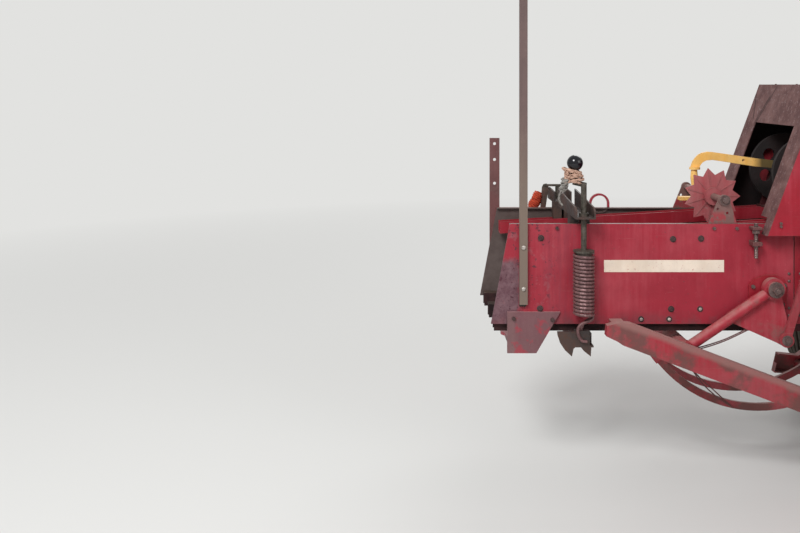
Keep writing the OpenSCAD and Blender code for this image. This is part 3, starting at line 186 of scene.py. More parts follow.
def worn_paint(name, main, faded, rust=(84, 56, 52), fade=0.5, rusty=0.3, places=None, dust=0.2,
               rough=0.5, edge=0.7):
    """Sun-faded paint: soft patches, rain streaks, scratches, rust and worn edges.

    places, if given, takes the helper and returns (mask, colour, extra roughness) for
    places of their own.
    """
    m = Nodes(name)
    big = m.noise(2.4, 5, 0.6)
    mid = m.noise(11.0, 6, 0.65)
    fine = m.noise(85.0, 5, 0.7)
    streak = m.noise(3.0, 6, 0.7, m.mapped((14, 14, 1.0)))
    f = m.add(m.mul(big, 0.65), m.mul(streak, 0.35))
    c = m.mix(m.ramp(f, 0.56 - 0.2 * fade, 0.8 - 0.2 * fade), main, faded)
    c = m.mix(m.ramp(mid, 0.4, 0.7, 0.0, 0.3), c, toned(main, 0.74))
    # pale scuffs, dark specks and long thin scratches
    c = m.mix(m.ramp(fine, 0.62, 0.78, 0.0, 0.5), c, toned(faded, 1, 22))
    c = m.mix(m.spots(160.0, 3, 0.6, 0.66, 0.72, 0.0, 0.8), c, rust)
    scratch = m.noise(5.0, 2, 0.5, m.mapped((1.2, 1.2, 75.0), (0.25, 0.5, 0.0)), 0.4)
    c = m.mix(m.ramp(scratch, 0.72, 0.76, 0.0, 0.4), c, (150, 112, 108))
    # rust, in patches broken up by finer noise
    r = m.add(m.mul(mid, 0.6), m.mul(big, 0.4))
    r = m.add(r, m.mul(m.sub(fine, 0.5), 0.3))
    r = m.ramp(r, 0.72 - 0.2 * rusty, 0.79 - 0.2 * rusty)
    c = m.mix(m.mul(r, 0.88), c, m.mix(m.ramp(fine, 0.3, 0.7), rust, toned(rust, 1.3, 6)))
    e = m.mul(m.edges(0.003), m.ramp(mid, 0.35, 0.6))
    c = m.mix(m.mul(e, edge), c, (108, 84, 80))
    ro = m.add(m.mul(r, 0.3), m.ramp(mid, 0.3, 0.7, rough - 0.08, rough + 0.12))
    for mask, colour, more in places(m) if places else ():
        c = m.mix(mask, c, colour)
        ro = m.add(ro, m.mul(mask, more))
    # dust on faces that look up, and low down
    d = m.mul(m.ramp(m.up(), 0.2, 1.0), m.ramp(big, 0.3, 0.65))
    d = m.add(d, m.mul(m.ramp(m.sep()[2], 0.5, 0.1), 0.3))
    d = m.mul(d, m.ramp(fine, 0.3, 0.6, 0.4, 1.0))
    c = m.mix(m.mul(d, dust), c, (150, 130, 108))
    m.bump(m.add(m.mul(r, -0.6), m.mul(fine, 0.3)), 0.4, 0.0015)
    return m.finish(c, ro, 0.0, 0.35)


def steel(name, main, rust=(96, 66, 54), rusty=0.35, metal=0.6, rough=0.5):
    """Dull bare steel with brown staining."""
    m = Nodes(name)
    big = m.noise(6.0, 5, 0.6)
    fine = m.noise(70.0, 5, 0.7)
    r = m.add(m.mul(big, 0.6), m.mul(fine, 0.4))
    r = m.ramp(r, 0.62 - 0.3 * rusty, 0.74 - 0.25 * rusty)
    a = m.mix(m.ramp(fine, 0.3, 0.7), main, toned(main, 0.72))
    c = m.mix(r, a, m.mix(fine, rust, toned(rust, 0.6)))
    e = m.mul(m.edges(0.002), m.ramp(big, 0.35, 0.6))
    c = m.mix(m.mul(e, 0.6), c, toned(main, 1.3))
    m.bump(m.add(fine, m.mul(r, 0.5)), 0.35)
    return m.finish(c, m.ramp(r, 0.0, 1.0, rough, 0.85), m.ramp(r, 0.0, 1.0, metal, 0.0))


def rubber(name, main, soil=(112, 96, 78), dusty=0.5, rough=0.8):
    """Dusty rubber, browner and paler where the soil clings."""
    m = Nodes(name)
    fine = m.noise(90.0, 5, 0.7)
    d = m.add(m.mul(m.noise(5.0, 5, 0.6), 0.7), m.mul(fine, 0.3))
    c = m.mix(m.ramp(d, 0.42, 0.66, 0.05, dusty), main, soil)
    c = m.mix(m.ramp(fine, 0.55, 0.75, 0.0, 0.3), c, toned(main, 1, 30))
    m.bump(fine, 0.3)
    return m.finish(c, m.ramp(fine, 0.3, 0.7, rough - 0.05, rough + 0.12), 0.0, 0.3)


def fibre(name, main, dark):
    """Twine and rag: fine streaks of two tones."""
    m = Nodes(name)
    fine = m.noise(120.0, 5, 0.7)
    long = m.noise(60.0, 3, 0.6, m.mapped((1, 1, 6)))
    c = m.mix(m.ramp(m.add(m.mul(fine, 0.5), m.mul(long, 0.5)), 0.35, 0.65), dark, main)
    m.bump(m.add(fine, long), 0.6)
    return m.finish(c, m.ramp(fine, 0.3, 0.7, 0.85, 0.95), 0.0, 0.2)


def crank_metal():
    """Dark greasy iron of the cranks, and the gloss black of the knobs on top."""
    m = Nodes("crank_iron")
    knob = m.ramp(m.sep()[2], KNOB_Z - 0.0005, KNOB_Z + 0.0005)
    fine = m.noise(60.0, 5, 0.7)
    iron = m.mix(m.ramp(fine, 0.35, 0.65), (50, 48, 40), (92, 84, 76))
    iron = m.mix(m.spots(9.0, 5, 0.7, 0.5, 0.66, 0.0, 0.7), iron, (96, 70, 62))
    black = m.mix(m.spots(14.0, 4, 0.6, 0.5, 0.8, 0.0, 0.4), (8, 8, 16), (26, 26, 34))
    m.bump(m.mul(fine, m.sub(1.0, knob)), 0.3)
    return m.finish(m.mix(knob, iron, black), m.ramp(knob, 0.0, 1.0, 0.6, 0.09),
                    m.ramp(knob, 0.0, 1.0, 0.3, 0.0))


def rear_end(m):
    """Bare brown corner behind the tall post, dark specks round it, streaks by the spring."""
    x, _, z = m.sep()
    x, z = m.sub(x, RX), m.sub(z, Z0)
    ragged = m.mul(m.noise(24.0, 6, 0.75), 0.05)
    corner = m.mul(m.ramp(m.add(x, ragged), 0.137, 0.118), m.ramp(m.add(z, ragged), 0.262, 0.238))
    bare = m.mix(m.spots(40.0, 5, 0.7, 0.4, 0.65), (92, 60, 68), (112, 84, 90))
    near = m.inside(x, 0.04, 0.20, 0.05)
    specks = m.mul(near, m.spots(75.0, 3, 0.6, 0.6, 0.66, 0.0, 0.85))
    scuffs = m.mul(near, m.spots(30.0, 5, 0.7, 0.56, 0.68, 0.0, 0.5))
    rain = m.spots(5.0, 5, 0.7, 0.42, 0.6, 0.0, 0.5, m.mapped((16, 16, 1)))
    low = m.mul(m.ramp(z, 0.05, 0.01), m.spots(18.0, 4, 0.7, 0.4, 0.6, 0.0, 0.6))
    return [(corner, bare, 0.25), (scuffs, (140, 92, 98), 0.15), (specks, (74, 42, 50), 0.2),
            (m.mul(m.inside(x, 0.20, 0.29, 0.03), rain), (128, 46, 60), 0.1),
            (low, (104, 62, 66), 0.2)]


def tow_places(m):
    """Patches of the old red left on the tow plates, and a painted highlight that makes the faces looking up
    paler.
    """
    left = m.spots(13.0, 5, 0.65, 0.565, 0.63, 0.0, 0.75)
    # painted highlight on faces that look up
    edge = m.ramp(m.up(), 0.6, 0.9, 0.0, 0.9)
    return [(left, (152, 50, 62), 0.0), (edge, (176, 132, 136), 0.1)]


def guard_places(m):
    """Grey-brown wear, most on faces that look up, and a paler band along the near bar's upper edge that is
    partly wear and partly a painted highlight.
    """
    x, _, z = m.sep()
    x, z = m.sub(x, PIVOT.x), m.sub(z, PIVOT.z)
    up = m.ramp(m.up(), 0.25, 0.8, 0.0, 0.8)
    wear = m.spots(6.0, 6, 0.7, 0.44, 0.55, 0.0, 0.85)
    # height across the sloping bar
    slope = radians(-20.7)
    across = m.add(m.mul(x, -sin(slope)), m.mul(z, cos(slope)))
    across = m.add(across, m.mul(m.noise(12.0, 4, 0.6), 0.02))
    # pale band along the bar's upper edge: wear and a painted highlight
    rim_wear_and_highlight = m.mul(m.ramp(across, -0.300, -0.285, 0.0, 0.85), m.ramp(x, 0.16, 0.05))
    return [(wear, (98, 68, 64), 0.15), (rim_wear_and_highlight, (144, 102, 98), 0.15), (up, (158, 118, 116), 0.15)]


def yoke_places(m):
    """Dust on the yoke's upper faces and grey wear along its tubes."""
    up = m.mul(m.ramp(m.up(), 0.1, 0.85, 0.0, 0.75), m.spots(24.0, 5, 0.7, 0.3, 0.6))
    wear = m.spots(9.0, 6, 0.7, 0.52, 0.62, 0.0, 0.65)
    return [(wear, (122, 86, 82), 0.15), (up, (160, 116, 112), 0.2)]


def rail_places(m):
    """The lower rails are grimy, with the machine's shade painted on them below a set height."""
    # painted shade with grime, near black below a set height
    grime_and_painted_shade = m.mix(m.spots(14.0, 5, 0.7, 0.4, 0.65), (26, 9, 11), (58, 30, 30))
    return [(m.ramp(m.sep()[2], Z0 + 0.100, Z0 + 0.098), grime_and_painted_shade, 0.3)]


def stand_places(m):
    """A patch of red paint left low on the star wheel's stands."""
    low = m.ramp(m.sep()[2], ZT + 0.050, ZT + 0.030)
    return [(m.mul(low, m.spots(26.0, 5, 0.7, 0.47, 0.53, 0.0, 0.85)), (146, 50, 58), 0.0)]


def post_places(m):
    """The tall post turns olive grey lower down."""
    height = m.add(m.sep()[2], m.mul(m.noise(9.0, 4, 0.6), 0.3))
    return [(m.ramp(height, 1.45, 1.15, 0.0, 0.8), (118, 104, 92), 0.1)]


def hood_places(m):
    """Weathered brown rear panel and flanges, and a near-black inside of painted shade with dirt."""
    x, y, z = m.sep()
    past = m.sub(m.sub(x, HOOD_LO.x), m.mul(m.sub(z, HOOD_LO.z), HOOD_LEAN))
    flange = m.ramp(past, 0.0065, 0.0055)
    tone = m.mix(m.spots(16.0, 5, 0.7, 0.4, 0.62), (84, 54, 54), (110, 78, 76))
    tone = m.mix(m.spots(70.0, 4, 0.7, 0.56, 0.68), tone, (128, 104, 104))
    half, width = m.math("ABSOLUTE", m.sub(y, CASE_Y)), (HOOD_HI.y - HOOD_LO.y) / 2
    # the inside faces are painted near black: painted shade, with dirt
    deep = m.mul(m.ramp(half, width - 0.0004, width - 0.0012),
                 m.ramp(z, HOOD_HI.z - 0.0004, HOOD_HI.z - 0.0012))
    deep = m.mul(deep, m.ramp(past, 0.003, 0.0045))
    shade_and_dirt = m.mix(m.spots(9.0, 5, 0.7, 0.4, 0.65), (13, 5, 6), (26, 11, 11))
    places = [(flange, tone, 0.25), (deep, shade_and_dirt, 0.3)]
    # painted shade of the creases that run from the window's far corner to the panel's edges, as (y, z) ends
    for ya, za, yb, zb in ((0.874, 1.239, 0.798, 1.373), (0.886, 1.243, 0.830, 1.338),
                           (0.919, 1.257, 0.974, 1.342)):
        long = hypot(yb - ya, zb - za)
        u, v = (yb - ya) / long, (zb - za) / long
        dy, dz = m.sub(y, ya), m.sub(z, za)
        along = m.add(m.mul(dy, u), m.mul(dz, v))
        off = m.math("ABSOLUTE", m.add(m.mul(dy, v), m.mul(dz, -u)))
        off = m.add(off, m.mul(m.sub(m.noise(30.0, 3, 0.6), 0.5), 0.006))
        line = m.mul(m.ramp(off, 0.0055, 0.0015, 0.0, 0.85), m.inside(along, 0.0, long, 0.02))
        places.append((m.mul(line, flange), (44, 26, 27), 0.1))
    return places


def arm_places(m):
    """The trip arm's inner end, with the hood's shadow painted on it in a darker olive."""
    x, _, z = m.sep()
    shade = m.mul(m.ramp(x, -1.436, -1.402), m.ramp(z, 1.0, 1.01))
    return [(shade, m.mix(m.noise(20.0, 4, 0.6), (74, 60, 32), (104, 86, 48)), 0.2)]


def chain_places(m):
    """The chain guard's face that stands against the case, painted near black for the shade between guard
    and case, with grime.
    """
    lo = box_of("drive_guard")[0].y
    # painted shade between guard and case, with grime
    grime_and_painted_shade = m.mix(m.noise(12.0, 4, 0.6), (16, 6, 7), (30, 12, 12))
    return [(m.ramp(m.sep()[1], lo + 0.0015, lo + 0.0005), grime_and_painted_shade, 0.3)]


def case_inside(m):
    """The faces that bales rub are polished dark; the outside keeps its paint."""
    _, y, z = m.sep()
    half = m.math("ABSOLUTE", m.sub(y, CASE_Y))
    inner = m.mul(m.ramp(half, CASE_HALF - 0.004, CASE_HALF - 0.005),
                  m.ramp(z, ZT + 0.003, ZT + 0.001))
    return [(inner, m.mix(m.noise(30.0, 4, 0.6), (64, 50, 48), (104, 92, 88)), -0.1)]


def rear_plate(m):
    """Both kinds of place on the rear side plates."""
    return rear_end(m) + case_inside(m)


# name, paint, faded paint, rust, how faded, how rusty, places
CRIMSON, FADE, OLD = (142, 24, 38), (166, 58, 70), (84, 56, 52)
RED = worn_paint("paint_red", CRIMSON, FADE, OLD, 0.4, 0.2)
REAR = worn_paint("paint_rear_plate", (150, 34, 50), (170, 70, 80), (84, 54, 58), 0.6, 0.22, rear_plate)
SIDE = worn_paint("paint_case", CRIMSON, FADE, OLD, 0.4, 0.25, case_inside)
HOOD = worn_paint("paint_hood", (150, 26, 42), (172, 62, 76), OLD, 0.45, 0.25, hood_places)
FADED = worn_paint("paint_faded", (146, 44, 54), (166, 88, 92), (82, 60, 58), 0.7, 0.5)
STAR = worn_paint("paint_star", (154, 50, 60), (166, 106, 106), (120, 104, 98), 0.7, 0.5)
RAILS = worn_paint("paint_rails", CRIMSON, FADE, OLD, 0.45, 0.25, rail_places)
STAND = worn_paint("paint_stand", (112, 80, 76), (126, 98, 94), (86, 62, 58), 0.6, 0.5, stand_places)
CHAIN = worn_paint("paint_chain", (164, 42, 54), (162, 92, 96), (110, 66, 66), 0.45, 0.3, chain_places)
BROWN = worn_paint("paint_rusty", (98, 58, 58), (116, 82, 80), (80, 58, 56), 0.6, 0.8)
# dark red with painted shade and grime, for the chamber floor, feeder bar and knotter frames
SHADE_RED = worn_paint("paint_shaded", (66, 16, 22), (82, 38, 40), (48, 32, 30), 0.4, 0.6, rough=0.65)
YELLOW = worn_paint("paint_yellow", (234, 174, 78), (238, 200, 130), (140, 92, 52), 0.5, 0.08,
                    arm_places, 0.05)
LABEL = worn_paint("label_white", (226, 212, 196), (212, 190, 168), (170, 92, 92), 0.6, 0.3,
                   dust=0.1, edge=0.2)
YOKE = worn_paint("paint_yoke", (158, 40, 54), (174, 92, 98), (112, 78, 72), 0.62, 0.28, yoke_places)
POST = worn_paint("paint_post", (98, 80, 78), (118, 96, 92), (92, 74, 70), 0.6, 0.4, post_places)
TOW = worn_paint("paint_tow_plates", (112, 72, 78), (122, 92, 92), (88, 62, 64), 0.6, 0.4, tow_places)
GUARD = worn_paint("paint_guard", (158, 42, 54), (160, 82, 88), (100, 72, 66), 0.6, 0.35, guard_places)
# name, steel, stain, how rusty, metallic, rough
STEEL = steel("steel_dull", (132, 126, 122))
DARK = steel("steel_dark", (62, 54, 52), rusty=0.6, metal=0.3)
SPRING = steel("spring_rusty", (124, 88, 88), (96, 60, 62), 0.5, 0.3, 0.42)
# near-black iron for the knotter shaft, painted shade of the hood's dark inside
KNOTTER_SHADE = steel("knotter_painted_shade", (30, 24, 24), (38, 20, 20), 0.6, 0.1, 0.7)
CAST = steel("cast_dark", (76, 70, 68), rusty=0.5, metal=0.2, rough=0.65)
BOLT = steel("bolt_steel", (124, 104, 100), (84, 56, 54), 0.5, 0.5, 0.4)
WORN_BOLT = steel("bolt_worn", (88, 68, 66), (60, 38, 38), 0.6, 0.4, 0.45)
BRIGHT = steel("bolt_bright", (206, 198, 190), (130, 110, 104), 0.2, 0.6, 0.3)
TYRE = rubber("tyre_rubber", (30, 29, 29))
GAUGE = rubber("gauge_rubber", (34, 32, 31), dusty=0.6)
BLACK = rubber("plastic_black", (13, 13, 15), dusty=0.06, rough=0.25)
# near black for the painted shade at the tall posts' feet
POST_FOOT_SHADE = rubber("post_foot_shade_black", (20, 17, 15), (52, 42, 34), 0.5, 0.35)
TWINE = fibre("twine_tan", (206, 172, 152), (138, 104, 88))
RAG = fibre("rag_grey", (150, 146, 140), (88, 84, 80))
ORANGE = fibre("twine_orange", (206, 86, 56), (134, 44, 34))
CRANK = crank_metal()

# the record's slots, and the nodes that have a material of their own
SLOTS = {
    "red_faded": FADED, "red_paint": RED, "rust_brown": BROWN, "bare_steel": STEEL,
    "cast_grey": CAST, "yellow_paint": YELLOW, "black_plastic": BLACK,
    "tyre_rubber": TYRE, "gauge_rubber": GAUGE,
}
SPECIAL = {
    "right_wall": REAR, "left_wall": REAR, "case_right": SIDE, "hood": HOOD,
    "tension_cross": DARK, "tension_springs": SPRING, "chamber_floor": SHADE_RED,
    "plunger": DARK, "feeder_bar": SHADE_RED, "tension_rails": RAILS, "meter_wheel": STAR,
    "flywheel": CAST, "needle_link": FADED, "pickup_reel": DARK, "tall_post": POST,
    "hitch_plates": TOW, "needle_guard": GUARD, "tension_cranks": CRANK,
    "knotter_shaft": KNOTTER_SHADE, "knotter_frames": SHADE_RED, "drive_guard": CHAIN,
    "meter_stand": STAND, "needle_yoke": YOKE, "needles": GUARD,
}
slot_of = {s["node"]: s["material_slot"] for s in frame["record"]["subparts"]}
for name, ob in frame["nodes"].items():
    mat = SPECIAL.get(name, SLOTS[slot_of[name]])
    if not ob.material_slots:
        ob.data.materials.append(mat)
    for s in ob.material_slots:
        s.material = mat


# Geometry helpers, in metres, in the shared frame

TURN = 2 * pi
M8, M12, M14, M16 = 0.013, 0.019, 0.022, 0.024  # widths across flats of bolt heads


def turned(axis, roll=0.0):
    """Matrix that turns +Z to the axis after a roll about it."""
    q = Z.rotation_difference(Vector(axis).normalized())
    return q.to_matrix().to_4x4() @ Matrix.Rotation(roll, 4, "Z")


def circle(c, r, a, u=X, v=Z):
    """The point at radius r and angle a round c, measured from u towards v."""
    return c + u * (r * cos(a)) + v * (r * sin(a))


def around(c, r, n, first=0.5, u=X, v=Z):
    """n points round a circle, the first one that share of a step from u."""
    return [circle(c, r, TURN * (i + first) / n, u, v) for i in range(n)]


def put_in(name, data):
    """A new object of the scene."""
    ob = bpy.data.objects.new(name, data)
    scene.collection.objects.link(ob)
    return ob


def piece(name, bm, mat, body="chassis", sharp=35.0):
    """Finish a bmesh as an object that rides a CAD body."""
    bmesh.ops.recalc_face_normals(bm, faces=bm.faces)
    me = bpy.data.meshes.new(name)
    bm.to_mesh(me)
    bm.free()
    me.shade_smooth()
    me.set_sharp_from_angle(angle=radians(sharp))
    me.materials.append(mat)
    ob = put_in(name, me)
    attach(ob, body)
    return ob


def lathe(bm, prof, at, axis=Z, n=24, roll=0.0):
    """Revolve (radius, height) points round an axis through a point."""
    m = Matrix.Translation(at) @ turned(axis, roll)
    rings = []
    for r, h in prof:
        k = 1 if r < 1e-6 else n
        turns = [TURN * i / k for i in range(k)]
        rings.append([bm.verts.new(m @ Vector((r * cos(a), r * sin(a), h))) for a in turns])
    for a, b in zip(rings, rings[1:]):
        for i in range(n):
            j = (i + 1) % n
            vs = list(dict.fromkeys((a[i % len(a)], a[j % len(a)], b[j % len(b)], b[i % len(b)])))
            if len(vs) > 2:
                bm.faces.new(vs)


def bolt(bm, at, axis, af, washer=False, stub=0.0):
    """Hexagon head or nut with a chamfer and, if asked, a washer and a thread end."""
    r = af / sqrt(3)
    w = 0.0022 if washer else 0.0
    at, axis = Vector(at), Vector(axis).normalized()
    if washer:
        lathe(bm, [(0, 0), (af * 0.98, 0), (af * 0.98, w * 0.8), (af * 0.9, w), (0, w)], at, axis, 16)
    h = af * 0.62
    lathe(bm, [(r, 0), (r, h * 0.82), (r * 0.86, h), (0, h)], at + axis * w, axis, 6,
          random.uniform(0, 1.05))
    if stub:
        t = af * 0.29
        steps = max(2, int(stub / 0.0015))
        prof = [(t * (1.0 if k % 2 else 0.86), h + stub * k / steps) for k in range(steps + 1)]
        lathe(bm, [(t, h * 0.5)] + prof + [(0, h + stub)], at + axis * w, axis, 10)


def rivet(bm, at, axis, r=0.0055):
    """Round mushroom head."""
    prof = [(r, 0), (r * 0.95, r * 0.25), (r * 0.7, r * 0.5), (r * 0.35, r * 0.62), (0, r * 0.65)]
    lathe(bm, prof, at, axis, 12)


def fixings(name, rows, mat=BOLT, body="chassis", kind=bolt):
    """A piece made of bolts or rivets, from rows of their place, axis and the rest."""
    bm = bmesh.new()
    for row in rows:
        kind(bm, *row)
    piece(name, bm, mat, body)


def hub_cap(bm, r, at, axis, n):
    """Low round cap."""
    lathe(bm, [(r, -0.001), (r, 0.003), (r - 0.008, 0.005), (0, 0.005)], at, axis, n)


def nipple(bm, at, axis):
    """Grease nipple."""
    prof = [(0.0045, 0), (0.0045, 0.004), (0.0028, 0.005), (0.0026, 0.009), (0.0036, 0.0105),
            (0.0034, 0.0125), (0.0018, 0.0145), (0, 0.0148)]
    lathe(bm, prof, at, axis, 10)


def curve(pts, k=6):
    """Catmull-Rom points through pts."""
    p = [Vector(v) for v in pts]
    out = []
    for i in range(len(p) - 1):
        a, b, c, d = p[max(i - 1, 0)], p[i], p[i + 1], p[min(i + 2, len(p) - 1)]
        for j in range(k):
            t = j / k
            out.append(0.5 * ((2 * b) + (c - a) * t + (2 * a - 5 * b + 4 * c - d) * t * t
                              + (3 * b - a - 3 * c + d) * t ** 3))
    return out + p[-1:]


def tube(bm, pts, r, n=10, closed=False, twist=0.0, lobes=0):
    """Sweep a round, or a lobed and twisted, section along points."""
    p = [Vector(v) for v in pts]
    m = len(p)
    side = None
    rings = []
    for i in range(m):
        a = p[i - 1] if (closed or i) else p[0]
        b = p[(i + 1) % m] if (closed or i < m - 1) else p[-1]
        t = (b - a).normalized()
        if side is None:
            side = t.orthogonal().normalized()
        side = (side - t * side.dot(t)).normalized()
        up = t.cross(side)
        rad = r(i / (m - 1)) if callable(r) else r
        ring = []
        for j in range(n):
            a = TURN * j / n
            q = rad * (1 + 0.18 * cos(lobes * a)) if lobes else rad
            a += twist * i
            ring.append(bm.verts.new(p[i] + side * q * cos(a) + up * q * sin(a)))
        rings.append(ring)
    for a, b in zip(rings, rings[1:] + (rings[:1] if closed else [])):
        for j in range(n):
            k = (j + 1) % n
            bm.faces.new((a[j], a[k], b[k], b[j]))
    if not closed:
        bm.faces.new(rings[0][::-1])
        bm.faces.new(rings[-1])


def strand(bm, pts, r, n=8, twist=0.4, closed=False):
    """A three-ply cord along points."""
    tube(bm, pts, r, n, closed, twist, 3)


def prism(bm, outline, at, u, v, depth, bevel=0.0):
    """Extrude a 2-D outline, laid out along u and v, by depth along u x v."""
    w = u.cross(v)
    low = [bm.verts.new(Vector(at) + u * a + v * b) for a, b in outline]
    high = [bm.verts.new(q.co + w * depth) for q in low]
    n = len(low)
    faces = [bm.faces.new(low[::-1]), bm.faces.new(high)]
    for i in range(n):
        faces.append(bm.faces.new((low[i], low[(i + 1) % n], high[(i + 1) % n], high[i])))
    if bevel:
        edges = list({e for f in faces for e in f.edges})
        bmesh.ops.bevel(bm, geom=edges, offset=bevel, segments=1, profile=0.5, affect="EDGES")


def block(bm, lo, hi, at, depth, bevel=0.0, v=Z):
    """A rectangle from lo to hi along X and v, extruded by depth."""
    prism(bm, [lo, (hi[0], lo[1]), hi, (lo[0], hi[1])], at, X, v, depth, bevel)


def weld(bm, pts, r=0.003):
    """Rippled weld bead along points, half sunk in the metal."""
    p = [Vector(v) for v in pts]
    out = []
    for a, b in zip(p, p[1:]):
        k = max(2, int((b - a).length / 0.004))
        out += [a.lerp(b, i / k) for i in range(k)]
    out = [q + Vector([random.uniform(-0.0006, 0.0006) for _ in range(3)]) for q in out + p[-1:]]
    tube(bm, out, lambda t: r * (0.8 + 0.4 * random.random()), 7)


def ring_pts(at, axis, r, n):
    """Points of a circle round an axis."""
    m = Matrix.Translation(at) @ turned(axis)
    return [m @ p for p in around(Vector(), r, n, 0, X, Y)]


def weld_round(bm, at, axis, ring_r, n, r):
    """Weld bead along a whole circle."""
    ring = ring_pts(at, axis, ring_r, n)
    weld(bm, ring + ring[:1], r)


# Added pieces on the rear, tension gear and side plate

def rear_bolts():
    """Bolts of the side plates, the posts and the tow plates, on both sides."""
    plate = ((0.1775, 0.305), (0.234, 0.340), (0.646, 0.301), (0.7455, 0.303), (0.639, 0.053),
             (0.742, 0.053), (0.174, 0.055), (0.5325, 0.017), (0.632, 0.017))
    bare = plate[5:6] + plate[7:]
    bm, bright = bmesh.new(), bmesh.new()
    for face, out in SIDES:
        for spot in plate:
            at = (RX + spot[0], face, Z0 + spot[1])
            if spot in bare:
                lathe(bm, [(0.0105, -0.0005), (0.0105, 0.0016), (0.006, 0.0022), (0, 0.0022)],
                      at, Y * out, 24)
                lathe(bright, [(0.0055, 0.0005), (0.0055, 0.0045), (0.004, 0.0054), (0, 0.0056)],
                      at, Y * out, 20)
            else:
                bolt(bm, at, Y * out, 0.0115, spot != plate[1])
        for dx, dz in ((0.080, 0.021), (0.2165, 0.017)):
            bolt(bm, (RX + dx, face + out * 0.008, Z0 + dz), Y * out, M8)
    piece("rear_bolts", bm, WORN_BOLT)
    piece("bare_bolts", bright, BRIGHT)
    fixings("post_bolts", [((RX + 0.114, face + out * 0.016, Z0 + dz), Y * out, 0.0085)
                           for face, out in SIDES for dz in (0.273, 0.127)], BRIGHT, kind=rivet)
    # near-black block at the foot of each tall post, painted shade of its open end
    bm = bmesh.new()
    for face, out in SIDES:
        block(bm, (-0.012, 0), (0.012, 0.009),
              (RX + 0.112, face + (0.012 if out > 0 else 0.0), Z0 + 0.064), 0.012, 0.001)
    piece("post_foot_shade", bm, POST_FOOT_SHADE)


def side_label():
    """The plain strip on the right side plate."""
    bm = bmesh.new()
    block(bm, (0, 0), (0.426, 0.043), (RX + 0.401, YR, Z0 + 0.184), 0.0007)
    piece("side_strip", bm, LABEL)


def crank_twine():
    """Twine wound round the near crank's handle, with a grey knot hanging from it."""
    cx, cy = RX + 0.290, YR - 0.044
    rng = random.Random(5)

    def tangle(n, start, step, wide, high):
        """Loose points that wander in x and z by a step, on the left of the handle."""
        x, y, z = start
        return curve([(x + step[0] * i + rng.uniform(-wide, wide), y + rng.uniform(-0.010, 0.006),
                       z + step[1] * i + rng.uniform(-high, high)) for i in range(n)], 5)

    bm = bmesh.new()
    # the wide strands: middle in x, height, half width and tilt of each loop
    for dx, z, w, tilt in ((-0.011, 1.0885, 0.031, -0.0070), (-0.006, 1.0835, 0.027, -0.0050),
                           (0.003, 1.0730, 0.023, -0.0035), (-0.004, 1.0665, 0.020, 0.003),
                           (0.004, 1.0560, 0.025, 0.0020), (-0.002, 1.0490, 0.021, -0.003)):
        loop = [(cx + dx + w * cos(a), cy + 0.019 * sin(a),
                 z + tilt * cos(a) + 0.0012 * sin(3 * a + 9 * w))
                for a in (TURN * i / 30 for i in range(30))]
        strand(bm, loop, 0.0044, 9, 0.5, True)
    strand(bm, tangle(24, (cx - 0.028, cy - 0.008, 1.088), (0, -0.0017), 0.010, 0.007), 0.0042, 9, 0.5)
    piece("crank_twine", bm, TWINE, sharp=60)
    bm = bmesh.new()
    for _ in range(3):
        strand(bm, tangle(12, (cx - 0.036, cy - 0.010, 1.060), (-0.0007, -0.0036), 0.012, 0.008), 0.0046)
    tail = ((-0.046, -0.010, 1.022), (-0.054, -0.008, 1.008), (-0.057, -0.004, 0.990),
            (-0.052, -0.004, 0.976), (-0.044, -0.006, 0.966))
    strand(bm, curve([(cx + a, cy + b, c) for a, b, c in tail]), 0.0036)
    piece("crank_knot", bm, RAG, sharp=60)


def twine_hank():
    """The orange-red hank of twine, a dense bundle hung by the far lever."""
    a, b = Vector((RX + 0.209, YL + 0.043, 0.866)), Vector((RX + 0.243, YL + 0.043, 0.944))
    way = (b - a).normalized()
    side = way.cross(Y).normalized()
    rng = random.Random(3)
    bm = bmesh.new()
    turns, steps = 11, 14
    pts = []
    for i in range(turns * steps + 1):
        t = i / (turns * steps)
        r = (0.015 + 0.004 * sin(pi * t)) * (1 + 0.1 * sin(i * 0.37))
        w = TURN * i / steps
        pts.append(a.lerp(b, t) + side * r * cos(w) + Y * 0.012 * sin(w)
                   + way * 0.004 * cos(w + 0.5))
    strand(bm, pts, 0.0040, twist=0.5)
    for k in range(9):
        c, d = rng.uniform(-0.9, 0.9), rng.uniform(-0.006, 0.006)
        pts = [a.lerp(b, t) + side * (0.011 * c + 0.004 * sin(5 * t + k)) + Y * d
               for t in (-0.08, 0.15, 0.35, 0.6, 0.85, 1.10)]
        strand(bm, curve(pts, 5), 0.0030, 7)
    tail = [a + Vector(d) for d in ((0, 0, 0), (-0.006, 0, -0.012), (-0.012, 0.002, -0.030),
                                    (-0.010, 0.002, -0.048))]
    strand(bm, curve(tail, 5), 0.0030, 7)
    piece("twine_hank", bm, ORANGE, sharp=60)


def spring_hooks():
    """The thick lower hook of each tension spring, from its last coil into the claw bracket."""
    hook = ((0.3534, 0.044, 0.577), (0.348, 0.051, 0.568), (0.330, 0.058, 0.562),
            (0.311, 0.0635, 0.556), (0.299, 0.0650, 0.544), (0.2965, 0.0650, 0.528),
            (0.301, 0.0650, 0.510), (0.312, 0.0650, 0.497), (0.328, 0.0640, 0.494))
    bm = bmesh.new()
    for face, out in SIDES:
        tube(bm, curve([(RX + dx, face + out * dy, z) for dx, dy, z in hook]), 0.0055, 12)
    piece("spring_hooks", bm, SPRING)


def hood_screws():
    """Small screws on the hood's side panels, and rivets along its top."""
    bm = bmesh.new()
    for y, out in HOOD_SIDES:
        for x, z in ((-1.444, 0.905), (-1.444, 0.894), (-0.86, 0.92), (-0.86, 1.30), (-1.22, 1.35),
                     (-1.04, 1.355)):
            bolt(bm, (x, y, z), Y * out, 0.009)
        for k in range(6):
            rivet(bm, (-1.24 + 0.085 * k, y - out * 0.020, HOOD_HI.z), Z, 0.0045)
    piece("hood_screws", bm, BOLT, "hood")


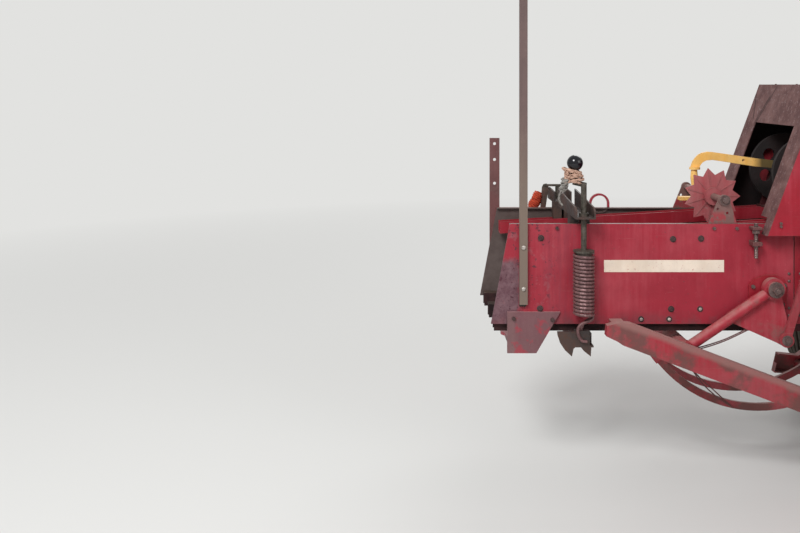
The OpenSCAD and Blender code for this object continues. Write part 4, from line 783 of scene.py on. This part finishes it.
def latch_screw():
    """Screw with its block on the right plate, which clamps the lower tension rail."""
    x, y = RX + 0.932, YR - 0.024
    long, steps = 0.124, 40
    bm = bmesh.new()
    prof = [(0.0075 if k % 2 else 0.0062, long * k / steps) for k in range(steps + 1)]
    lathe(bm, [(0, 0)] + prof + [(0, long)], (x, y, ZT - 0.118), Z, 14)
    for dz in (-0.030, -0.077):
        bolt(bm, (x, y, ZT + dz), Z, M16)
    piece("latch_screw", bm, BOLT)
    bm = bmesh.new()
    for half, dz in ((0.007, -0.066), (0.005, -0.012)):
        block(bm, (-0.017, -half), (0.017, half), (x, YR, ZT + dz), 0.042, 0.0015)
    weld(bm, [(x - 0.017, YR - 0.001, ZT - 0.059), (x + 0.017, YR - 0.001, ZT - 0.059)], 0.0025)
    piece("latch_block", bm, BROWN)


# Wheels

def tyre(side, rim_r, ribs, seed):
    """Farm implement tyre: ribbed tread with shoulder notches, ringed sidewalls."""
    node = side + "_tyre"
    lo, hi = box_of(node)
    mid = (lo + hi) / 2
    r, w = (hi.z - lo.z) / 2, hi.y - lo.y
    rng = random.Random(seed)
    prof = [(rim_r, -0.36 * w), (rim_r + 0.008, -0.365 * w), (rim_r + 0.014, -0.37 * w),
            (rim_r + 0.020, -0.42 * w)]
    wall = 9
    for i in range(wall + 1):
        t = i / wall
        rad = rim_r + 0.03 + (r - 0.028 - rim_r - 0.03) * t
        bulge = 0.5 * w - 0.045 * w * (2 * t - 0.9) ** 2
        ring = 0.0016 if i in (2, 3, 6) else 0.0
        prof.append((rad, -min(bulge + ring, 0.5 * w)))
    prof += [(r - 0.016, -0.455 * w), (r - 0.006, -0.41 * w)]
    # circumferential ribs with rounded edges
    step = 0.76 * w / ribs
    for k in range(ribs):
        a = -0.38 * w + step * k
        crown = r - 0.006 * (2 * (k + 0.5) / ribs - 1) ** 2
        edge = [(r - 0.013, 0.0035), (crown - 0.0015, 0.0055), (crown, 0.009)]
        prof += [(q, a + d) for q, d in edge] + [(q, a + step - d) for q, d in reversed(edge)]
    prof += [(q, -y) for q, y in reversed(prof[:wall + 7])]
    n = 160
    bm = bmesh.new()
    rings = []
    for i in range(n):
        zig = 0.0022 * (abs((i % 8) - 4) - 2)
        ring = []
        for j, (rad, y) in enumerate(prof):
            if wall + 6 < j < len(prof) - wall - 7:
                y += zig
            if abs(y) > 0.40 * w and rad > r - 0.03:
                rad -= 0.007 if i % 4 == 0 else 0.0
            rad = min(rad, r) - 0.0006 * rng.random()
            ring.append(bm.verts.new(circle(mid, rad, TURN * i / n) + Y * y))
        rings.append(ring)
    for i in range(n):
        a, b = rings[i], rings[(i + 1) % n]
        for j in range(len(prof)):
            bm.faces.new((a[j - 1], a[j], b[j], b[j - 1]))
    ob = piece(node + "_tread", bm, TYRE, side + "_wheel", 28)
    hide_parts(node)


def wheel_trim(side, out):
    """Nuts, hub cap, grease nipple and valve on a rim."""
    body = side + "_wheel"
    lo, hi = box_of(side + "_rim")
    tyre_lo, tyre_hi = box_of(side + "_tyre")
    c = Vector(((lo.x + hi.x) / 2, 0, (lo.z + hi.z) / 2))
    mid = (tyre_lo.y + tyre_hi.y) / 2
    face = hi.y if out > 0 else lo.y
    room = (tyre_hi.y - face) if out > 0 else (face - tyre_lo.y)
    fixings(body + "_nuts", [(p, Y * out, 0.021, False, 0.008)
                             for p in around(c + Y * (mid + out * 0.012), 0.064, 6)], body=body)
    bm = bmesh.new()
    deep = min(0.030, room - 0.008)
    cap = [(0.041, -0.006), (0.041, 0.003), (0.034, 0.008), (0.031, deep - 0.006),
           (0.026, deep - 0.001), (0, deep)]
    lathe(bm, cap, c + Y * face, Y * out, 32)
    if room > 0.05:
        nipple(bm, c + Y * (face + out * (deep - 0.001)), Y * out)
    piece(body + "_cap", bm, RED, body)
    bm = bmesh.new()
    way = circle(Vector(), 1, radians(105))
    base = c + way * ((hi.z - lo.z) / 2 - 0.036) + Y * (mid - out * 0.007)
    tube(bm, [base, base + Y * out * 0.026 - way * 0.004, base + Y * out * 0.046 - way * 0.010],
         lambda t: 0.0048 if t < 0.6 else 0.0036)
    piece(body + "_valve", bm, BLACK, body)


# Needles, yoke and guard

ARM_Y = YR - 0.033  # middle of the yoke's arm tubes
ARM_R, ARM_LEN = 0.0185, 0.380
ARM_DIR = circle(Vector(), 1, radians(-146))
ARM_UP = Vector((-ARM_DIR.z, 0, ARM_DIR.x))


def saddle(radius, at, sign, a0, a1):
    """Where an arm tube meets a round of the given radius that runs along Y."""
    pts = []
    for i in range(29):
        a = a0 + (a1 - a0) * i / 28
        up = ARM_R * cos(a)
        pts.append(PIVOT + ARM_DIR * (at + sign * sqrt(radius ** 2 - up ** 2)) + ARM_UP * up
                   + Y * (ARM_Y + ARM_R * sin(a)))
    return pts


def yoke_details():
    """Pivot nuts, bracket bolts, the link's pin and the weld beads of the needle yoke."""
    bm = bmesh.new()
    for y, out in SIDES:
        bolt(bm, PIVOT + Y * (y + out * 0.054), Y * out, 0.029, True, 0.007)
        for dx, dz in ((-0.066, 0.004), (0.045, 0.008)):
            bolt(bm, PIVOT + Vector((dx, y + out * 0.010, dz)), Y * out, M8)
        for dx in (0.042, -0.066):
            rivet(bm, PIVOT + Vector((dx, y + out * 0.010, -0.060)), Y * out, 0.006)
    piece("pivot_nuts", bm, BOLT)
    pin = circle(PIVOT, 0.183, radians(-77)) + Y * (YR - 0.048)
    fixings("link_nut", [(pin, -Y, M12, True, 0.003)], body="yoke")
    bm = bmesh.new()
    for up, ends, r in ((-0.0174, (0.045, 0.12, 0.186), 0.0032), (0.0174, (0.045, 0.11), 0.0028)):
        weld(bm, [PIVOT + ARM_DIR * d + ARM_UP * up + Y * (ARM_Y + 0.0055) for d in ends], r)
    for pts in (saddle(0.030, ARM_LEN, -1, 0.0, TURN), saddle(0.038, 0.0, 1, -0.2, pi + 0.2)):
        weld(bm, pts, 0.0032)
        weld(bm, [(q.x, 2 * CASE_Y - q.y, q.z) for q in pts], 0.0032)
    weld_round(bm, PIVOT + Y * (YR - 0.040), Y, 0.0278, 26, 0.0025)
    piece("yoke_welds", bm, RED, "yoke")


def needle_rods():
    """Two pairs of thin rods on the yoke: one up to the gusset, one down by the near needle."""
    bm = bmesh.new()
    near = CASE_Y - 0.1245
    upper = ((-0.300, -0.214, 0.018), (-0.2565, -0.215, 0.016), (-0.170, -0.187, 0.018),
             (-0.083, -0.145, 0.0205), (-0.070, -0.139, 0.0215))
    for rise in (0.0, 0.0055):
        pts = [PIVOT + Vector((dx, YR - dy, dz + rise * min(1, i)))
               for i, (dx, dz, dy) in enumerate(upper)]
        tube(bm, curve(pts), 0.0022, 8)
    down = ((-0.300, -0.235), (-0.232, -0.338), (-0.163, -0.403), (-0.0956, -0.466))
    for drop in (0.0, 0.010):
        pts = [PIVOT + Vector((dx - drop * (i == 2), near, dz - drop * 0.7 * (i in (1, 2))))
               for i, (dx, dz) in enumerate(down)]
        tube(bm, curve(pts, 7), 0.0022, 8)
    piece("twine_rods", bm, BROWN, "yoke")


def guard_details():
    """Bolts of the guard's cross rods and brackets, and its weld beads."""
    rows = []
    for y, out in SIDES:
        rows += [(PIVOT + Vector((dx, y + out * 0.094, dz)), Y * out, af, True)
                 for dx, dz, af in ((0.330, -0.432, M14), (0.448, -0.260, M14), (0.446, -0.118, 0.015))]
        rows += [((PIVOT.x + dx, y + out * 0.030, Z0 + 0.046), Z, M8) for dx in (0.428, 0.466)]
    fixings("guard_bolts", rows)
    bm = bmesh.new()
    for dx in (-0.575, -0.530):
        weld(bm, [(PIVOT.x + dx, YR - 0.059, Z0 + dz) for dz in (0.004, 0.018)])
    for y, out in SIDES:
        weld(bm, [(PIVOT.x + dx, y + out * 0.0605, Z0 + 0.047) for dx in (0.412, 0.482)])
    piece("guard_welds", bm, FADED)


# Feed side, drive and front

def feed_details():
    """Bolts of the feed table, its panels and its cover, and the table's welds."""
    x, y, _ = box_of("feed_table")[0]
    lo, hi = box_of("feed_cover")
    fixings("feed_bolts",
            [((x + 0.050 + 0.082 * k, y, Z0 + 0.020), -Y, M8) for k in range(9)]
            + [((x + 0.020, y, Z0 + 0.075 + 0.075 * k), -Y, M8) for k in range(5)]
            + [((x, y + 0.09 + 0.152 * k, ZT + 0.045), -X, M8) for k in range(8)]
            + [((lo.x + 0.075 + 0.445 * k / 6, edge, ZT + 0.135), Z, 0.012)
               for k in range(7) for edge in (lo.y + 0.012, hi.y - 0.012)])
    bm = bmesh.new()
    for k in range(3):
        weld(bm, [(x - 0.001, y + dy + 0.5 * k, Z0 + 0.004) for dy in (0.2, 0.26)])
    piece("feed_welds", bm, RED)


def pickup_details():
    """Bearing, plate bolts, band rivets, tine springs and the wind guard's welds."""
    reel_lo, reel_hi = box_of("pickup_reel")
    band_lo, band_hi = box_of("stripper_bands")
    wind_lo, wind_hi = box_of("wind_guard")
    c = Vector(((reel_lo.x + reel_hi.x) / 2, 0, (reel_lo.z + reel_hi.z) / 2))
    side = reel_lo.y - 0.001  # outer face of the pickup's right plate
    fixings("pickup_bolts", [(p, -Y, af)
                             for r, n, af, dy in ((0.060, 3, 0.016, 0.008), (0.200, 8, M8, 0.0))
                             for p in around(c + Y * (side - dy), r, n, 0.25)], body="pickup")
    bm = bmesh.new()
    housing = [(0.022, 0), (0.082, 0), (0.082, 0.004), (0.076, 0.010), (0.046, 0.011), (0.040, 0.020),
               (0.022, 0.022)]
    lathe(bm, housing + housing[:1], c + Y * side, -Y, 36)
    nipple(bm, (c.x, side - 0.021, c.z + 0.031), -Y + Z * 0.4)
    piece("reel_bearing", bm, CAST, "pickup")
    # two rivets on each stripper band where it meets the cross members
    count, gap, low = 14, 0.038, radians(-150)
    pitch = (band_hi.y - band_lo.y + gap) / count
    w = pitch - gap
    bm = bmesh.new()
    for i in range(count):
        for dy in (-w * 0.28, w * 0.28):
            y = band_lo.y + i * pitch + w / 2 + dy
            rivet(bm, (band_lo.x + 0.012, y, band_hi.z), Z)
            rivet(bm, circle(c, 0.215, low) + Y * y, circle(Vector(), 1, low))
    piece("band_rivets", bm, BOLT, "pickup")
    # coil of each tine round its bar
    bm = bmesh.new()
    steps, loops = 40, 4
    for k in range(4):
        a = TURN * (k + 0.5) / 4
        for i in range(count - 1):
            at = circle(c, 0.140, a) + Y * (band_lo.y + w + gap / 2 + i * pitch - 0.013)
            tube(bm, [circle(at, 0.0145, a + TURN * loops * j / steps) + Y * 0.026 * j / steps
                      for j in range(steps + 1)], 0.0026, 5)
    piece("tine_coils", bm, SPRING, "reel")
    # weld beads of the wind guard's rods
    bm = bmesh.new()
    y0, span = wind_lo.y + 0.055, wind_hi.y - wind_lo.y - 0.110
    for i in range(9):
        for dx, z, ring_r, n, r in ((0.031, 0.2115, 0.0065, 12, 0.0028), (0.215, 0.170, 0.0055, 10, 0.0026)):
            at = (wind_lo.x + dx, y0 + i * span / 8, Z0 + z)
            weld(bm, ring_pts(at, (1, 0, -0.2), ring_r, n), r)
    piece("wind_welds", bm, DARK, "wind")


def gauge_details():
    """Hub bolts and axle nut of the gauge wheel."""
    lo, hi = box_of("gauge_wheel")
    c = (lo + hi) / 2
    fixings("gauge_nuts", [(p, -Y, 0.015) for p in around(c - Y * 0.010, 0.060, 5, 0)], body="gauge")
    fixings("gauge_axle_nut", [((c.x, lo.y - 0.004, c.z), -Y, M14)], body="pickup")


WHEEL_LO, WHEEL_HI = box_of("flywheel")
DRIVE = Vector((WHEEL_LO.x, CASE_Y, (WHEEL_LO.z + WHEEL_HI.z) / 2))


def gearbox_details():
    """Cover bolts, filler plug, breather and base bolts of the gearbox."""
    lo, hi = box_of("gearbox")
    c = Vector((lo.x, CASE_Y, DRIVE.z))
    rows = [(circle(c, 0.098, -pi * k / 4, Y) + X * 0.310, X, 0.015) for k in range(5)]
    for k in range(8):
        a = TURN * (k + 0.5) / 8
        u, v = cos(a), sin(a)
        if abs(v) < 0.9:
            rows += [(c + Vector((0.140 + 0.108 * u, out * 0.150, 0.100 * v)), Y * out, M8)
                     for out in (-1, 1)]
    rows += [((lo.x + dx, CASE_Y + y, Z0 + 0.002), Z, M14, True, 0.010)
             for dx in (0.030, 0.300) for y in (-0.172, 0.172)]
    fixings("gearbox_bolts", rows)
    bm = bmesh.new()
    lathe(bm, [(0.022, -0.002), (0.022, 0.006), (0.012, 0.008), (0.012, 0.020), (0.018, 0.021),
               (0.018, 0.030), (0.012, 0.034), (0, 0.035)], (lo.x + 0.220, CASE_Y + 0.060, hi.z), Z, 20)
    lathe(bm, [(0.010, -0.002), (0.010, 0.010), (0.006, 0.012), (0.006, 0.022), (0, 0.024)],
          (lo.x + 0.180, CASE_Y - 0.070, hi.z), Z, 14)
    piece("gearbox_plugs", bm, CAST)


def gearbox_cover():
    """Bolted cover plate on the gearbox's top, and lugs up its sides."""
    lo, hi = box_of("gearbox")
    x0, x1 = lo.x + 0.085, lo.x + 0.295
    bm = bmesh.new()
    block(bm, (x0, CASE_Y - 0.125), (x1, CASE_Y + 0.125), (0, 0, hi.z - 0.001), 0.007, 0.002, Y)
    for y in (-0.112, 0.112):
        for k in range(4):
            x = x0 + 0.014 + (x1 - x0 - 0.028) * k / 3
            bolt(bm, (x, CASE_Y + y, hi.z + 0.006), Z, 0.011)
    for y in (-0.150, 0.162):
        for dx in (0.036, 0.290):
            block(bm, (0, 0), (0.010, 0.32), (lo.x + dx, CASE_Y + y, Z0 + 0.004), 0.012, 0.001)
    piece("gearbox_cover", bm, CAST)


def flywheel_details():
    """Hub bolts of the flywheel, and the rivets of its shield."""
    web = DRIVE + X * 0.058  # front face of the web
    fixings("flywheel_bolts", [(p, X, M12, True, 0.005) for p in around(web, 0.092, 5, u=Y)],
            body="fly")
    lo, hi = box_of("flywheel_shield")
    bm = bmesh.new()
    for k in range(7):
        d = circle(Vector(), 1, radians(20 + 140 * k / 6), Y)
        for x in (lo.x + 0.022, hi.x - 0.016):
            rivet(bm, Vector((x, CASE_Y, DRIVE.z)) + d * 0.340, d, 0.0065)
    piece("shield_rivets", bm, BOLT)


# Drawbar, jack, drive shaft, twine box and knotters

def drawbar_details():
    """Pivot nut, clevis bolts, weld beads and stand welds of the drawbar."""
    lo, hi = box_of("tongue")
    pivot_x, mid_z = lo.x + 0.062, Z0 - 0.064
    bm = bmesh.new()
    lathe(bm, [(0.037, 0), (0.037, 0.004), (0.030, 0.005), (0, 0.005)],
          (pivot_x, CASE_Y, Z0 - 0.004), Z, 28)
    bolt(bm, (pivot_x, CASE_Y, Z0 + 0.0005), Z, 0.036, False, 0.008)
    for out in (-1, 1):
        for dx in (-0.085, -0.040):
            for dz, axis in ((-0.016, Z), (-0.112, -Z)):
                bolt(bm, (pivot_x + dx, CASE_Y + out * 0.165, Z0 + dz), axis, M12, True)
    piece("pivot_pin_nut", bm, BOLT)
    bm = bmesh.new()
    for out in (-1, 1):
        for dx in (-0.205, -0.168):
            bolt(bm, (hi.x + dx, CASE_Y + out * 0.050, mid_z), Y * out, M14, True)
        for dx in (0.785, 0.805):
            weld(bm, [(pivot_x + dx, CASE_Y + out * y, Z0 - 0.034) for y in (0.049, 0.020)])
    piece("clevis_bolts", bm, BOLT, "drawbar")
    bm = bmesh.new()
    for dz in (-0.0315, 0.0315):
        for out in (-1, 1):
            weld(bm, [(hi.x + dx, CASE_Y + out * 0.0502, mid_z + dz) for dx in (-0.212, -0.150)], 0.0032)
    piece("drawbar_welds", bm, RED, "drawbar")


def jack_details():
    """Crank grip, cap bolts, grease nipple and weld beads of the jack."""
    lo, hi = box_of("jack_leg")
    c = Vector(((lo.x + hi.x) / 2, (lo.y + hi.y) / 2, 0))
    top = box_of("jack_tube")[1].z
    bm = bmesh.new()
    grip = [(0.0095, 0), (0.0135, 0.003), (0.0155, 0.020), (0.0145, 0.045), (0.016, 0.066),
            (0.0135, 0.074), (0, 0.076)]
    lathe(bm, grip, (c.x, c.y + 0.090, top - 0.074), Z, 24)
    piece("jack_grip", bm, BLACK, "jack")
    bm = bmesh.new()
    cap = c + Z * (top - 0.070)
    for p in around(cap, 0.0245, 4, v=Y):
        bolt(bm, p, Z, 0.011)
    nipple(bm, cap + Vector((-0.036, 0, -0.020)), -X)
    weld_round(bm, cap - Z * 0.041, Z, 0.031, 28, 0.003)
    piece("jack_cap_bolts", bm, BOLT, "jack")
    bm = bmesh.new()
    weld_round(bm, c + Z * 0.0125, Z, 0.0225, 24, 0.004)
    piece("jack_foot_weld", bm, STEEL, "jack_foot")


def shaft_details():
    """Raised rings round the drive shaft's guard and its cone."""
    at = DRIVE + X * 0.249
    way = circle(Vector(), 1, radians(-7.5))
    bm = bmesh.new()
    for d in (0.128, 0.300, 0.560, 0.700):
        lathe(bm, [(0.0415, -0.008), (0.0455, -0.008), (0.0470, -0.004), (0.0470, 0.004),
                   (0.0455, 0.008), (0.0415, 0.008)], at + way * d, way, 40)
    for d in (-0.030, 0.0, 0.030):
        lathe(bm, [(0.0855, -0.003), (0.0885, -0.001), (0.0885, 0.001), (0.0855, 0.003)],
              at + way * d, way, 48)
    piece("guard_rings", bm, BLACK, "drawbar")


def twine_box_details():
    """Seam rivets of the twine box, the lid's hasp, staple, handle and hinge rivets."""
    lo, hi = box_of("twine_box")
    lid_lo, lid_hi = box_of("twine_lid")
    under = lid_lo.z + 0.024  # the lid's underside
    x = (lo.x + hi.x) / 2
    bm = bmesh.new()
    for k in range(6):
        for dz in (0.06, 0.32):
            rivet(bm, (lo.x + 0.06 + 0.116 * k, hi.y, Z0 + dz), Y)
    for k in range(3):
        for end, axis in ((lo.x, -X), (hi.x, X)):
            rivet(bm, (end, lo.y + 0.19 + 0.065 * k, Z0 + 0.05), axis)
    block(bm, (-0.018, 0), (0.018, 0.040), (x, hi.y + 0.0045, under - 0.085), 0.0045, 0.001)
    tube(bm, ring_pts((x, hi.y + 0.009, under - 0.045), X, 0.009, 20), 0.0026, 8, True)
    piece("box_rivets", bm, BOLT)
    bm = bmesh.new()
    hasp = [(-0.014, 0), (0.014, 0), (0.014, 0.034), (0.006, 0.042), (-0.006, 0.042), (-0.014, 0.034)]
    prism(bm, hasp, (x, lid_hi.y + 0.0032, under - 0.052), X, Z, 0.0032, 0.0008)
    grip = ((-0.20, -0.001), (-0.20, 0.014), (-0.19, 0.018), (-0.11, 0.018), (-0.10, 0.014),
            (-0.10, -0.001))
    tube(bm, curve([(x + dx, lid_hi.y + dy, under - 0.012) for dx, dy in grip]), 0.004)
    for dx in (-0.310, -0.230, 0.230, 0.310):
        rivet(bm, (x + dx, lid_lo.y + 0.024, lid_lo.z + 0.040), Z, 0.0045)
    piece("lid_latch", bm, STEEL, "lid")


def drive_guard_details():
    """Bolts that hold the chain guard, and a hub cap at each end."""
    lo, hi = box_of("drive_guard")
    bm = bmesh.new()
    for x, z in ((lo.x + 0.092, hi.z - 0.092), (hi.x - 0.098, lo.z + 0.098)):
        end = Vector((x, hi.y, z))
        for p in around(end, 0.055, 5, 0):
            bolt(bm, p, Y, 0.014)
        hub_cap(bm, 0.026, end, Y, 24)
    piece("chain_guard_bolts", bm, BOLT)


# Case, hood and meter trim

def case_bolts():
    """Rows of bolts along the front part of the case, on both sides, and its seam's rivets."""
    low, high = Z0 + 0.034, ZT - 0.034
    rows = [((RX + x, YR, low), -Y, M8) for x in (1.104, 1.244, 1.384)]
    rows += [((-0.085 + 0.11 * k, YR, z), -Y, M8) for k in range(6) for z in (low, high)]
    for k in range(14):
        x = -1.33 + 0.135 * k
        if abs(x + 0.18) > 0.05 and abs(x - 0.32) > 0.05:
            rows.append(((x, YL, low), Y, M8))
        if x < -0.62:
            rows.append(((x, YL, high - 0.006), Y, M8))
    fixings("case_bolts", rows)
    fixings("seam_rivets", [((RX + x, y, Z0 + z), Y * out) for y, out in SIDES
                            for z in (0.030, 0.056, 0.152, 0.178) for x in (1.098, 1.058)], kind=rivet)


def meter_details():
    """Nuts and washers of the star wheel's cross shaft, and the bolts of its stands."""
    lo, hi = box_of("meter_wheel")
    stand_lo, stand_hi = box_of("meter_stand")
    c = (lo + hi) / 2
    bm = bmesh.new()
    for y, out in ((stand_lo.y, -1), (stand_hi.y, 1)):
        lathe(bm, [(0.0125, -0.003), (0.019, -0.003), (0.019, 0.001), (0.0125, 0.001)],
              (c.x, y, c.z), Y * out, 24)
        bolt(bm, (c.x, y, c.z), Y * out, 0.021, False, 0.002)
    piece("meter_nuts", bm, BOLT)
    fixings("stand_bolts", [((c.x + dx, y + out * 0.0005, ZT - 0.016), Y * out, 0.011)
                            for y, out in SIDES for dx in (-0.040, 0.040)])


def hood_details():
    """Pivot nuts with round caps, and a lift handle on the hood."""
    bm = bmesh.new()
    for y, out in HOOD_SIDES:
        at = Vector((RX + 1.660, y, ZT + 0.235))
        hub_cap(bm, 0.030, at, Y * out, 28)
        bolt(bm, at + Y * out * 0.004, Y * out, M14, False, 0.004)
    piece("hinge_nuts", bm, BOLT, "hood")
    bm = bmesh.new()
    grip = ((-0.06, -0.002), (-0.06, 0.020), (-0.05, 0.030), (0.05, 0.030), (0.06, 0.020), (0.06, -0.002))
    x = HOOD_LO.x + (HOOD_HI.z - HOOD_LO.z) * HOOD_LEAN + 0.32
    tube(bm, curve([(x, CASE_Y + dy, HOOD_HI.z + dz) for dy, dz in grip]), 0.005)
    piece("hood_handle", bm, BLACK, "hood")


rear_bolts()
side_label()
crank_twine()
twine_hank()
spring_hooks()
hood_screws()
latch_screw()
tyre("left", 0.1905, 5, 11)
tyre("right", 0.1525, 4, 12)
wheel_trim("left", 1)
wheel_trim("right", -1)
yoke_details()
needle_rods()
guard_details()
feed_details()
pickup_details()
gauge_details()
gearbox_details()
flywheel_details()
drawbar_details()
jack_details()
shaft_details()
twine_box_details()
drive_guard_details()
case_bolts()
meter_details()
hood_details()
gearbox_cover()


# Camera, floor and light

F_PX = 958.0  # focal length, in pixels of the photo
WIDE, HIGH, HORIZON = 800.0, 533.0, 85.0  # the photo's size and its horizon's row
PALE = (226, 226, 224)  # what the camera sees behind the floor


def pale_floor():
    """Pale floor that fades, for the camera alone, into the plain background far away."""
    m = Nodes("floor_pale")
    m.finish((206, 206, 204), 0.9, 0.0, 0.1)
    x, y, _ = m.sep()
    far = m.math("SQRT", m.add(m.mul(x, x), m.mul(y, y)))
    seen = m.node("LightPath", {}).outputs["Is Camera Ray"]
    glow = m.node("Emission", {"Color": PALE}).outputs[0]
    mix = m.node("MixShader", {0: m.mul(m.ramp(far, 3.5, 9.0), seen), 1: m.bsdf.outputs[0], 2: glow})
    m.put(m.out.inputs[0], mix.outputs[0])
    return m.mat


def area(name, loc, target, size, power):
    """Square light aimed at a point."""
    light = bpy.data.lights.new(name, "AREA")
    light.size, light.energy = size, power
    ob = put_in(name, light)
    ob.location = loc
    ob.rotation_euler = (Vector(target) - Vector(loc)).to_track_quat("-Z", "Y").to_euler()


lens = bpy.data.cameras.new("camera")
lens.sensor_width = 36.0
lens.lens = F_PX / WIDE * lens.sensor_width
lens.shift_y = -(HIGH / 2 - HORIZON) / WIDE
lens.clip_end = 100
scene.camera = put_in("camera", lens)
scene.camera.location = (-2.773, -2.94, 1.388)
scene.camera.rotation_euler = (pi / 2, 0, 0)

bm = bmesh.new()
bmesh.ops.create_grid(bm, x_segments=1, y_segments=1, size=30)
me = bpy.data.meshes.new("floor")
bm.to_mesh(me)
bm.free()
me.materials.append(pale_floor())
floor = put_in("floor", me)

scene.world = bpy.data.worlds.new("world")
air = Tree(scene.world)
sky = air.node("Background", {"Color": (255, 255, 255), "Strength": 0.6})
plain = air.node("Background", {"Color": PALE})
seen = air.node("LightPath", {}).outputs["Is Camera Ray"]
both = air.node("MixShader", {0: seen, 1: sky.outputs[0], 2: plain.outputs[0]})
air.node("OutputWorld", {0: both.outputs[0]})

area("key", (-5.5, -5.0, 6.5), (-1.0, 0, 0.6), 3.0, 580)
area("fill", (5.5, -5.5, 4.5), (0.5, 0, 0.6), 5.0, 190)
area("back", (1.0, 6.5, 5.5), (0.0, 0, 0.8), 5.0, 220)

scene.view_settings.view_transform = "Standard"
